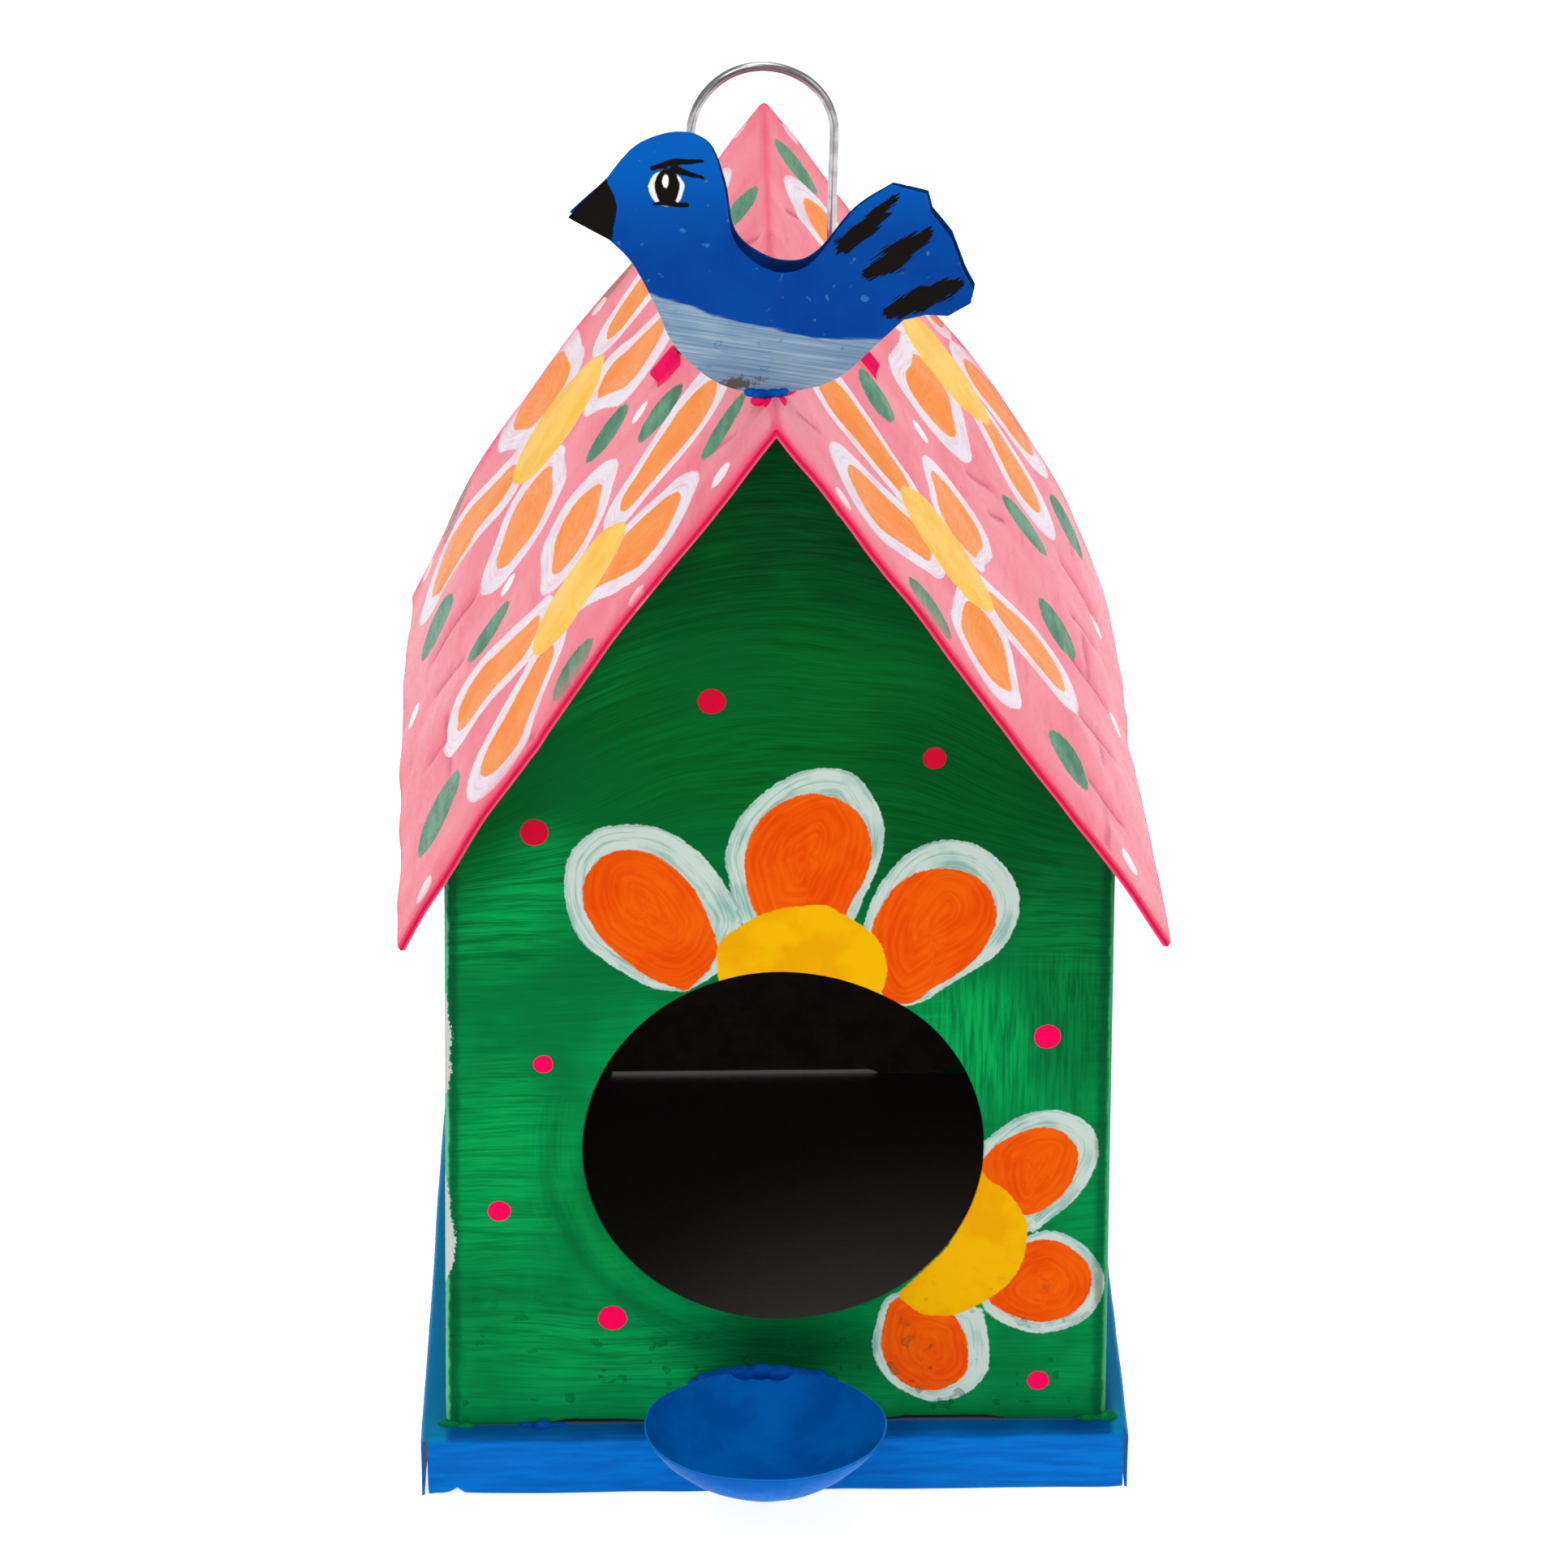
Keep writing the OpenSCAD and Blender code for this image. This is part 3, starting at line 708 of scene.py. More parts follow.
# ---------------------------------------------------------------- paint materials
def petal_layers(sh, base, wobble, white, orange, yellow):
    """Petal borders, petals and flower middles brushed over a base colour."""
    u, v = sh.value("stroke_u"), sh.value("stroke_v")
    flow = sh.vector(sh.math("MULTIPLY", u, 0.07), sh.math("MULTIPLY", v, 1.1), 0.0)
    streak = sh.noise(flow, 1.0, 4.0, 0.6)
    patch = sh.noise(sh.scaled(sh.place, 0.11), 1.0, 3.0)
    thin = sh.math("ADD", sh.remap(streak, 0.42, 0.66), sh.remap(patch, 0.45, 0.7, -0.25, 0.35), True)
    white_tone = sh.mix(thin, white[0], white[1])
    rim = sh.value("white")
    colour = sh.mix(sh.inside(rim, 0.16, wobble, 0.9), base, white_tone)
    tone = sh.math("ADD", sh.remap(streak, 0.36, 0.64, 0.0, 0.6), sh.remap(patch, 0.4, 0.6, 0.0, 0.4))
    orange_tone = sh.mix(tone, orange[0], orange[1])
    colour = sh.mix(sh.inside(sh.value("orange"), 0.18, wobble, 0.9), colour, orange_tone)
    yellow_tone = sh.mix(sh.remap(patch, 0.4, 0.62), yellow[0], yellow[1])
    colour = sh.mix(sh.inside(sh.value("yellow"), 0.18, wobble, 0.8), colour, yellow_tone)
    on_petal = sh.inside(sh.value("white"), 0.4)
    return colour, sh.math("MULTIPLY", streak, on_petal)


def wall_material():
    sh = Shader("wall_paint", roughness=0.36, specular=0.02)
    x, y, z = sh.axes(sh.place)

    def brushed(key_u, key_v, long, fine):
        return sh.noise(sh.vector(sh.math("MULTIPLY", sh.value(key_u), long),
                                  sh.math("MULTIPLY", sh.value(key_v), fine), 0.0), 1.0, 5.0, 0.62)

    streak = sh.math("ADD", sh.math("MULTIPLY", brushed("flow_u", "flow_v", 0.03, 0.5), 0.5),
                     sh.math("MULTIPLY", brushed("flow_u", "flow_v", 0.1, 2.0), 0.5))
    upright = sh.noise(sh.scaled(sh.place, (1.1, 1.1, 0.07)), 1.0, 5.0, 0.6)
    round_hole = brushed("ring_u", "ring_v", 0.06, 1.0)
    streak = sh.mix(sh.value("upright"), streak, upright)
    streak = sh.mix(sh.value("ring"), streak, round_hole)
    cloud = sh.noise(sh.scaled(sh.place, 0.03), 1.0, 4.0, 0.55)
    # Darker, yellower green towards the top: the darkening is painted shade under the roof overhang.
    low = sh.mix(sh.remap(streak, 0.34, 0.66), srgb(0, 116, 58), srgb(0, 140, 73))
    high = sh.mix(sh.remap(streak, 0.34, 0.66), srgb(0, 76, 25), srgb(0, 100, 36))
    mid = sh.mix(sh.remap(z, 100.0, 168.0), low, high)
    mid = sh.mix(sh.remap(cloud, 0.40, 0.62, 0.0, 0.6), mid, srgb(0, 92, 44))
    # Painted sheen: lighter green in listed patches on the walls.
    lit = sh.mix(sh.remap(streak, 0.36, 0.62), srgb(0, 130, 61), srgb(4, 156, 78))
    base = sh.mix(sh.math("MULTIPLY", sh.value("sheen_patches"), sh.remap(streak, 0.34, 0.58)), mid, lit)
    # Painted shade: darker green at the top under the roof overhang, and in a few listed patches.
    shade = sh.mix(sh.remap(streak, 0.35, 0.65), srgb(0, 54, 19), srgb(0, 76, 30))
    base = sh.mix(sh.math("MULTIPLY", sh.value("dark"), sh.remap(cloud, 0.15, 0.5)), base, shade)
    band = sh.math("MULTIPLY", sh.value("band"), sh.remap(streak, 0.3, 0.6, 0.6, 1.2))
    base = sh.mix(sh.math("MAXIMUM", band, 0.0), base, srgb(0, 88, 44))
    base = sh.mix(sh.math("MAXIMUM", sh.math("MULTIPLY", band, -1.0), 0.0), base, srgb(6, 164, 76))
    wobble = sh.noise(sh.scaled(sh.place, 0.9), 1.0, 3.0, 0.6)
    colour, petal_streak = petal_layers(
        sh, base, wobble,
        (srgb(188, 203, 194), srgb(128, 168, 160)),
        (srgb(217, 66, 0), srgb(228, 92, 4)),
        (srgb(230, 172, 0), srgb(224, 156, 0)))
    # Dots darker towards the top: painted shade under the roof overhang.
    dot_tone = sh.mix(sh.remap(z, 110.0, 160.0), srgb(250, 0, 84), srgb(200, 6, 50))
    back_dots = [((u + BACK_SHIFT, v), r) for (u, v), r in BACK_DOTS]
    dots = sh.spots(sh.value("flat_u"), z, FRONT_DOTS + SIDE_DOTS + back_dots)
    soft_wobble = sh.noise(sh.scaled(sh.place, 0.4), 1.0, 2.0, 0.5)
    colour = sh.mix(sh.inside(dots, 0.14, soft_wobble, 0.5), colour, dot_tone)
    # Darker green along the flat just before each fold.
    past = sh.math("SUBTRACT", sh.math("ABSOLUTE", sh.value("flat_u")), FLAT_W)
    ragged = sh.math("ADD", past, sh.math("MULTIPLY", sh.math("SUBTRACT", soft_wobble, 0.5), 1.4))
    fold_dark = sh.math("MULTIPLY", sh.remap(ragged, -2.2, -0.5, 0.0, 0.6), sh.remap(past, 1.0, 0.2))
    colour = sh.mix(fold_dark, colour, srgb(0, 56, 32))
    # Painted highlight: a pale mint line where the rounded fold catches light, stronger on the left.
    fold_highlight = sh.math("MULTIPLY", sh.remap(ragged, 0.5, 1.3), sh.remap(ragged, 2.7, 1.8))
    on_left = sh.remap(sh.value("flat_u"), -10.0, 10.0, 0.75, 0.3)
    colour = sh.mix(sh.math("MULTIPLY", fold_highlight, on_left), colour, srgb(104, 196, 146))
    worn = sh.noise(sh.scaled(sh.place, 1.3), 1.0, 4.0, 0.65)
    chip = sh.inside(sh.value("chip"), 0.08, worn, 3.0)
    colour = sh.mix(chip, colour, srgb(190, 196, 186))
    relief = sh.math("ADD", sh.math("MULTIPLY", streak, 0.7), sh.math("MULTIPLY", petal_streak, 0.5))
    grain = sh.noise(sh.scaled(sh.place, 0.8), 1.0, 4.0, 0.7)
    specks = sh.remap(sh.noise(sh.scaled(sh.place, 0.36), 1.0, 1.0, 0.4), 0.69, 0.74)
    specks = sh.math("MULTIPLY", specks, sh.remap(z, 60.0, 25.0))
    colour = sh.mix(sh.math("MULTIPLY", specks, 0.45), colour, srgb(0, 84, 40))
    normal = sh.bump(specks, 0.4, 0.8, sh.bump(relief, 0.12, 0.6))
    normal = sh.bump(grain, 0.08, 0.5, normal)
    rough = sh.remap(grain, 0.3, 0.7, 0.28, 0.44)
    return sh.finish(colour, rough, normal)


def roof_material():
    sh = Shader("roof_paint", roughness=0.38, specular=0.03)
    wobble = sh.noise(sh.scaled(sh.place, 0.9), 1.0, 3.0, 0.6)
    cloud = sh.noise(sh.scaled(sh.place, 0.03), 1.0, 4.0)
    streak = sh.noise(sh.scaled(sh.place, (0.25, 0.05, 0.25)), 1.0, 5.0, 0.65)
    base = sh.mix(sh.remap(cloud, 0.35, 0.65), srgb(238, 124, 140), srgb(240, 140, 153))
    base = sh.mix(sh.remap(streak, 0.5, 0.75, 0.0, 0.6), base, srgb(232, 100, 124))
    base = sh.mix(sh.inside(sh.value("leaf"), 0.3, wobble, 1.6), base,
                  sh.mix(sh.remap(streak, 0.35, 0.65), srgb(48, 116, 84), srgb(86, 146, 112)))
    # Painted shade: deep pink in the pressed creases and along the bend.
    crease_shade = sh.math("MULTIPLY", sh.value("painted_crease_shade"), sh.remap(wobble, 0.2, 0.55, 0.45, 0.9))
    base = sh.mix(crease_shade, base, srgb(192, 44, 88))
    colour, petal_streak = petal_layers(
        sh, base, wobble,
        (srgb(236, 226, 234), srgb(230, 196, 212)),
        (srgb(248, 152, 70), srgb(248, 132, 44)),
        (srgb(250, 200, 84), srgb(248, 188, 62)))
    colour = sh.mix(sh.inside(sh.value("dot"), 0.14, wobble, 0.8), colour, srgb(244, 238, 240))
    # Painted shade: a deeper pink band along the hemmed edges, eaves and ridge, and dark magenta on the sheet's
    # rim faces.
    rim = sh.remap(sh.value("on_rim"), 0.1, 0.9)
    colour = sh.mix(sh.value("edge"), colour, srgb(232, 66, 104))
    colour = sh.mix(rim, colour, srgb(206, 16, 70))
    grain = sh.noise(sh.scaled(sh.place, 0.8), 1.0, 4.0, 0.7)
    normal = sh.bump(sh.math("ADD", sh.math("MULTIPLY", streak, 0.5), petal_streak), 0.3, 0.6)
    normal = sh.bump(grain, 0.1, 0.5, normal)
    return sh.finish(colour, sh.remap(grain, 0.3, 0.7, 0.26, 0.44), normal)


def enamel(name, low, high, scale=0.12, roughness=0.34, grain_mm=0.12, stretch=(1, 1, 1),
           specular=0.03, rim=None):
    """Plain brushed enamel that drifts between two tones."""
    sh = Shader(name, roughness=roughness, specular=specular)
    cloud = sh.noise(sh.scaled(sh.place, tuple(scale * k for k in stretch)), 1.0, 4.0, 0.6)
    grain = sh.noise(sh.scaled(sh.place, 0.7), 1.0, 4.0, 0.65)
    colour = sh.mix(sh.remap(cloud, 0.35, 0.65), low, high)
    # rim: a lighter tone on the sheet's rim faces, a painted highlight.
    if rim is not None:
        colour = sh.mix(sh.remap(sh.value("on_rim"), 0.2, 0.9, 0.0, 0.6), colour, rim)
    normal = sh.bump(grain, grain_mm, 0.6)
    return sh.finish(colour, sh.remap(grain, 0.3, 0.7, roughness - 0.08, roughness + 0.12), normal)


def wire_material():
    sh = Shader("galvanised_wire", roughness=0.22, metallic=1.0)
    spots = sh.noise(sh.scaled(sh.place, 0.35), 1.0, 3.0, 0.5)
    colour = sh.mix(sh.remap(spots, 0.4, 0.65), srgb(172, 172, 174), srgb(150, 150, 152))
    return sh.finish(colour, sh.remap(spots, 0.3, 0.7, 0.18, 0.3))


BIRD_HEAD_Z = bird_low[2] + 44


def bird_material():
    sh = Shader("bird_paint", roughness=0.34, specular=0.03)
    wobble = sh.noise(sh.scaled(sh.place, 0.9), 1.0, 3.0, 0.6)
    cloud = sh.noise(sh.scaled(sh.place, 0.07), 1.0, 3.0, 0.5)
    x, y, z = sh.axes(sh.place)
    base = sh.mix(sh.remap(cloud, 0.35, 0.65), srgb(0, 60, 143), srgb(0, 68, 152))
    base = sh.mix(sh.remap(z, BIRD_HEAD_Z - 14, BIRD_HEAD_Z + 6), base, srgb(0, 88, 177))
    level = sh.math("ADD", z, sh.math("MULTIPLY", x, 0.16))
    brush = sh.noise(sh.vector(sh.math("MULTIPLY", x, 0.045), sh.math("MULTIPLY", level, 2.0), 0.0),
                     1.0, 4.0, 0.6)
    belly = sh.mix(sh.remap(brush, 0.34, 0.7), srgb(104, 136, 164), srgb(156, 178, 194))
    belly = sh.mix(sh.remap(cloud, 0.4, 0.65, 0.0, 0.4), belly, srgb(88, 122, 160))
    colour = sh.mix(sh.inside(sh.value("belly"), 0.25, brush, 1.6), base, belly)
    specks = sh.remap(sh.noise(sh.scaled(sh.place, 0.42), 1.0, 1.0, 0.4), 0.69, 0.74)
    colour = sh.mix(sh.math("MULTIPLY", specks, 0.35), colour, srgb(70, 146, 206))
    colour = sh.mix(sh.inside(sh.value("rust"), 0.5, wobble, 4.0), colour, srgb(84, 84, 76))
    colour = sh.mix(sh.inside(sh.value("eye_white"), 0.12, wobble, 0.5), colour, srgb(228, 230, 226))
    colour = sh.mix(sh.inside(sh.value("ink"), 0.12, wobble, 0.4), colour, srgb(18, 14, 12))
    sweep_u = sh.math("ADD", sh.math("MULTIPLY", x, 0.8), sh.math("MULTIPLY", z, 0.6))
    sweep_v = sh.math("SUBTRACT", sh.math("MULTIPLY", z, 0.8), sh.math("MULTIPLY", x, 0.6))
    dry = sh.noise(sh.vector(sh.math("MULTIPLY", sweep_u, 0.16), sh.math("MULTIPLY", sweep_v, 1.7), 0.0),
                   1.0, 3.0, 0.6)
    colour = sh.mix(sh.inside(sh.value("tail_ink"), 0.15, dry, 4.6), colour, srgb(18, 14, 12))
    colour = sh.mix(sh.inside(sh.value("glint"), 0.1), colour, srgb(240, 240, 238))
    grain = sh.noise(sh.scaled(sh.place, 0.9), 1.0, 4.0, 0.65)
    relief = sh.math("ADD", sh.math("MULTIPLY", grain, 0.6), sh.math("MULTIPLY", brush, 0.5))
    normal = sh.bump(specks, 0.35, 0.8, sh.bump(relief, 0.12, 0.6))
    return sh.finish(colour, sh.remap(grain, 0.3, 0.7, 0.24, 0.4), normal)


def tray_material():
    sh = Shader("tray_paint", roughness=0.34, specular=0.03)
    x, y, z = sh.axes(sh.place)
    brush = sh.noise(sh.scaled(sh.place, (0.05, 0.05, 0.5)), 1.0, 5.0, 0.65)
    grain = sh.noise(sh.scaled(sh.place, 0.7), 1.0, 4.0, 0.65)
    lip = sh.mix(sh.remap(brush, 0.35, 0.65), srgb(0, 96, 180), srgb(0, 114, 202))
    top = sh.mix(sh.remap(brush, 0.35, 0.65), srgb(0, 74, 142), srgb(0, 92, 164))
    beside = sh.remap(sh.math("ABSOLUTE", x), HALF_W + 0.5, HALF_W + 2.5)
    top = sh.mix(beside, top, srgb(0, 128, 182))
    colour = sh.mix(sh.remap(z, 12.9, 14.0), lip, top)
    colour = sh.mix(sh.value("indoors"), colour, srgb(104, 96, 96))
    return sh.finish(colour, sh.remap(grain, 0.3, 0.7, 0.22, 0.42), sh.bump(grain, 0.14, 0.6))


INSIDE = enamel("inside_metal", srgb(100, 88, 80), srgb(118, 106, 98), roughness=0.6)
ROOF_INSIDE = enamel("roof_underside", srgb(120, 52, 66), srgb(150, 66, 82), roughness=0.55)
WALL = wall_material()
ROOF = roof_material()
TRAY = tray_material()
BIRD = bird_material()
# Painted shade: a darker copy of the bird's blue for the back sheet and the front sheet's inner face, in the
# gap between the sheets.
BIRD_SHADED = enamel("bird_back_painted_shade", srgb(0, 44, 104), srgb(0, 58, 128))
# The dish's lighter rim is a painted highlight along its lip.
DISH = enamel("dish_paint", srgb(0, 86, 172), srgb(0, 102, 190), scale=0.08, specular=0.01,
              rim=srgb(40, 136, 214))
MAGENTA = enamel("magenta_paint", srgb(228, 10, 82), srgb(240, 28, 98), scale=0.2)
BLUE_LUMP = enamel("blue_lump_paint", srgb(0, 66, 150), srgb(0, 84, 176), scale=0.3)
GREEN_LUMP = enamel("green_lump_paint", srgb(0, 104, 56), srgb(0, 130, 76), scale=0.3)
SOLDER = enamel("bare_solder_metal", srgb(92, 90, 86), srgb(122, 120, 114), roughness=0.45)
WIRE = wire_material()


# ---------------------------------------------------------------- pieces
def keep(obj, slot_name, *nodes):
    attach(obj, "root")
    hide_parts(*nodes)
    return obj


def roof_piece():
    ys = np.arange(ROOF_FRONT, ROOF_REAR + 0.01, (ROOF_REAR - ROOF_FRONT) / 165)
    ts = np.linspace(-1, 1, 251)
    uv, tris = grid_pattern(ys, ts)
    y, t = uv[:, 0], uv[:, 1]
    s = np.where(t < 0, t * eave_length(y, -1), t * eave_length(y, 1))
    bowed = 0.5 * value_noise(s, 0 * s, 26, 77) * np.exp(-((np.abs(y) - 90) / 14) ** 2)
    uv = np.stack([y + bowed, s], 1)
    values = {}
    for side in (-1, 1):
        p = np.stack([uv[:, 0], np.abs(s)], 1)
        mine = motif_values(p, ROOF_PETALS[side], ROOF_YELLOW[side], ROOF_DOTS[side], ROOF_LEAVES[side],
                            20 + side)
        for key, array in mine.items():
            values[key] = np.where((s < 0) == (side < 0), array, values.get(key, 0))
    # Painted shade along the turned-down front and rear hems and the eaves, and a painted shadow line along the
    # ridge.
    to_edge = np.minimum(y - ROOF_FRONT, ROOF_REAR - y)
    ridge = 0.6 * np.exp(-(s / 0.9) ** 2)
    soft = 0.85 * np.exp(-(np.maximum(to_edge, 0) / 3.6) ** 1.1)
    to_eave = np.where(s < 0, eave_length(y, -1), eave_length(y, 1)) - np.abs(s)
    values["edge"] = np.max([soft, ridge, 0.7 * np.exp(-(to_eave / 0.9) ** 2)], axis=0)
    values["painted_crease_shade"] = crease_field(uv[:, 0], s)[1]
    thick = SHEET + (HEM - SHEET) * (1 - smooth(4.6, 5.4, to_edge))
    obj = folded_sheet("roof_visual", (uv, tris), roof_place, [ROOF, ROOF_INSIDE], values, thick,
                       flip=False)
    return keep(obj, "pink_paint", "roof")


HOLE = (1.0, 81.7)
HOLE_R = 42.2


def hole_outline():
    """The entrance, cut by hand with snips: a circle with faint flats."""
    angles = np.radians(np.arange(0, 360, 3))
    r = HOLE_R + 0.28 * value_noise(np.degrees(angles), 0 * angles, 24, 61) - 0.2
    return [(HOLE[0] + k * math.cos(a), HOLE[1] + k * math.sin(a)) for a, k in zip(angles, r)]


ARC = FOLD_R * math.pi / 2
SIDE_L = BACK_Y - FRONT_Y - FOLD_R
U_END = FLAT_W + ARC + SIDE_L


def wall_dents(u, z):
    broad = 0.55 * value_noise(u, z, 40, 5) + 0.12 * value_noise(u, z, 12, 6)
    edge = smooth(0, 8, np.abs(np.abs(u) - FLAT_W - ARC / 2))
    foot = smooth(14, 30, z)
    knocks = 0 * u
    for (ku, kz), r, deep in [((57, 146), 1.6, -0.5), ((65, 110), 1.5, -0.5), ((65, 70), 1.3, -0.4),
                              ((-60, 30), 5, 0.35), ((30, 205), 6, 0.3), ((-20, 190), 7, 0.3)]:
        knocks = knocks + deep * np.exp(-((u - ku) ** 2 + (z - kz) ** 2) / r**2)
    return (broad * edge * foot - knocks - 0.4 * edge) * 0.9


def shell_place(uv, depth):
    u, z = uv[:, 0], uv[:, 1]
    across, down, angle = fold(u, FLAT_W, FOLD_R)
    inwards = depth - wall_dents(u, z)
    flare = np.where(u < 0, 1.85, 0.4) * (90 - z) / 75 * np.minimum(np.abs(u) / FLAT_W, 1) ** 3
    x = across + np.sign(u) * (flare - np.sin(angle) * inwards)
    y = FRONT_Y + down + np.cos(angle) * inwards
    return np.stack([x, y, z], 1)


# Where the green has worn off the left front fold: heights and how wide.
CHIP_Z = [49, 51, 54, 58, 62, 65, 70, 74, 78, 94, 97, 101, 104, 109, 113, 118, 121]
CHIP_WIDTH = [-1, 0.9, 1.8, 2.7, 2.5, 1.7, 1.4, 0.8, -1, -1, 1.1, 1.7, 1.3, 1.8, 1.2, 0.9, -1]


def wall_values(uv):
    """Paint, brush direction and tone for the front wall and both sides, with painted sheen and painted shade.
    """
    u, z = uv[:, 0], uv[:, 1]
    values = motif_values(uv, FRONT_PETALS, FRONT_YELLOW, [], seed=3)
    values["flat_u"] = u
    q = wobble_points(uv, 1.7, 32, 71)
    from_hole = np.hypot(u - HOLE[0], z - HOLE[1]) - HOLE_R
    turn = np.arctan2(HOLE[1] - z, HOLE[0] - u)
    low_left = smooth(5, -10, u + 0 * z) * smooth(105, 80, z) + smooth(60, 40, z) * smooth(50, 30, u)
    ring = (1 - smooth(6, 15, from_hole)) * np.clip(low_left, 0, 1)
    arch = 0.0055 * (q[:, 0] - 4) ** 2 * smooth(135, 165, z) * (np.abs(u) < FLAT_W + 2)
    values["flow_u"], values["flow_v"] = q[:, 0], q[:, 1] + arch
    values["ring_u"], values["ring_v"] = turn * 50, from_hole
    values["ring"] = 0.4 * ring
    left = smooth(-0.4, 0.05, turn) * smooth(1.3, 0.85, turn)
    wander = from_hole + 1.2 * value_noise(z, 0 * z, 11, 87)
    values["band"] = left * (0.42 * np.exp(-((wander - 6.8) / 1.6) ** 2)
                             - 0.25 * np.exp(-((wander - 2.4) / 1.9) ** 2))
    values["upright"] = (smooth(24, 40, q[:, 0]) * smooth(70, 60, q[:, 0]) * smooth(82, 95, q[:, 1])
                         * smooth(132, 118, q[:, 1]))
    # Painted sheen: lighter green in these listed patches.
    sheen_patches = nearest([ellipse(q, (-57, 78), 13, 24), ellipse(q, (-30, 31), 32, 8, -12),
                      ellipse(q, (40, 107), 15, 14), ellipse(q, (-54, 140), 16, 10, 40),
                      ellipse(q, (-36, 188), 14, 5, 45) + 4, ellipse(q, (60, 128), 8, 20),
                      ellipse(q, (-140, 70), 40, 26), ellipse(q, (150, 90), 46, 30),
                      ellipse(q, (-190, 125), 26, 14), ellipse(q, (110, 130), 30, 12)])
    values["sheen_patches"] = 1 - smooth(-9, 7, sheen_patches + 2 * value_noise(u, z, 9, 88))
    # Painted shade at the top under the roof overhang, and darker green in three listed patches.
    values["dark"] = np.max([smooth(188, 218, z), 0.7 * (1 - smooth(-6, 4, ellipse(q, (2, 32), 22, 8))),
                             0.6 * (1 - smooth(-8, 8, ellipse(q, (38, 158), 26, 22, -40))),
                             0.5 * (1 - smooth(-4, 6, ellipse(q, (60, 128), 10, 26)))], axis=0)
    worn = np.interp(z, CHIP_Z, CHIP_WIDTH) + 0.3 * value_noise(z, 0 * z, 2.2, 83)
    values["chip"] = np.where(u < -FLAT_W - 3.4, 9.0, u + FLAT_W + 1.9 - worn)
    return values


def shell_piece():
    front = gable(FRONT_Y + 0.3, FLAT_W, TRAY_TOP)
    foot = TRAY_TOP
    outline = [(-48, foot), (-48, foot + 0.4), (-45, foot + 1.1), (-34, foot + 1.0), (-27, foot + 0.5),
               (0, foot + 0.7), (24, foot + 0.6), (27, foot + 1.1), (44, foot + 1.0), (48, foot + 0.3),
               (48, foot), (U_END, foot), (U_END, SIDE_TOP), (FLAT_W + ARC, SIDE_TOP)]
    outline += [tuple(q) for q in reversed(front[1:-1])]
    outline += [(-FLAT_W - ARC, SIDE_TOP), (-U_END, SIDE_TOP), (-U_END, foot)]
    pattern = flat_pattern(outline, [hole_outline()],
                           [(-FLAT_W - 5, FLAT_W + 5, 1.0), (-U_END, -FLAT_W - 5, 1.9),
                            (FLAT_W + 5, U_END, 1.9)])
    obj = folded_sheet("house_shell_visual", pattern, shell_place, [WALL, INSIDE],
                       wall_values(pattern[0]), SHEET)
    return keep(obj, "green_paint", "house_shell")


def back_wall_piece():
    outer = HALF_W - SHEET
    flat = outer - FOLD_R
    foot = TRAY_TOP + 0.1
    end = flat + ARC + 10
    rows = gable(BACK_Y - 0.3, flat, foot, 1.6)
    outline = [(-end, foot), (-39, foot), (-38, foot + 1.0), (24, foot + 0.9), (26, foot), (end, foot), (end, SIDE_TOP - 1), (flat + ARC, SIDE_TOP - 1)]
    outline += [tuple(q) for q in reversed(rows[1:-1])]
    outline += [(-flat - ARC, SIDE_TOP - 1), (-end, SIDE_TOP - 1)]
    pattern = flat_pattern(outline, [], [(-end, end, 1.5)])

    def place(uv, depth):
        u, z = uv[:, 0], uv[:, 1]
        across, down, angle = fold(u, flat, FOLD_R)
        calm = smooth(0, 10, flat - np.abs(u)) * smooth(16, 30, z)
        inwards = depth - (0.5 * value_noise(u, z, 36, 15) - 0.4) * calm
        x = across - np.sign(u) * np.sin(angle) * inwards
        return np.stack([x, BACK_Y - down - np.cos(angle) * inwards, z], 1)

    uv = pattern[0]
    values = motif_values(uv, [], [], [], seed=4)
    values["flat_u"] = uv[:, 0] + BACK_SHIFT
    values["band"] = 0 * uv[:, 0]
    values["flow_u"], values["flow_v"] = uv[:, 0], uv[:, 1] + 5
    values["upright"] = 0.6 * smooth(20, 40, uv[:, 0]) * smooth(90, 110, uv[:, 1])
    # Painted sheen in one patch.
    values["sheen_patches"] = 1 - smooth(-8, 6, ellipse(uv, (10, 110), 50, 40, 20))
    # Painted shade at the top, under the roof overhang.
    values["dark"] = smooth(196, 222, uv[:, 1])
    values["chip"] = np.full(len(uv), 60.0)
    obj = folded_sheet("back_wall_visual", pattern, place, [WALL, INSIDE], values, SHEET, flip=True,
                       rim_slot=1)
    return keep(obj, "green_paint", "back_wall")


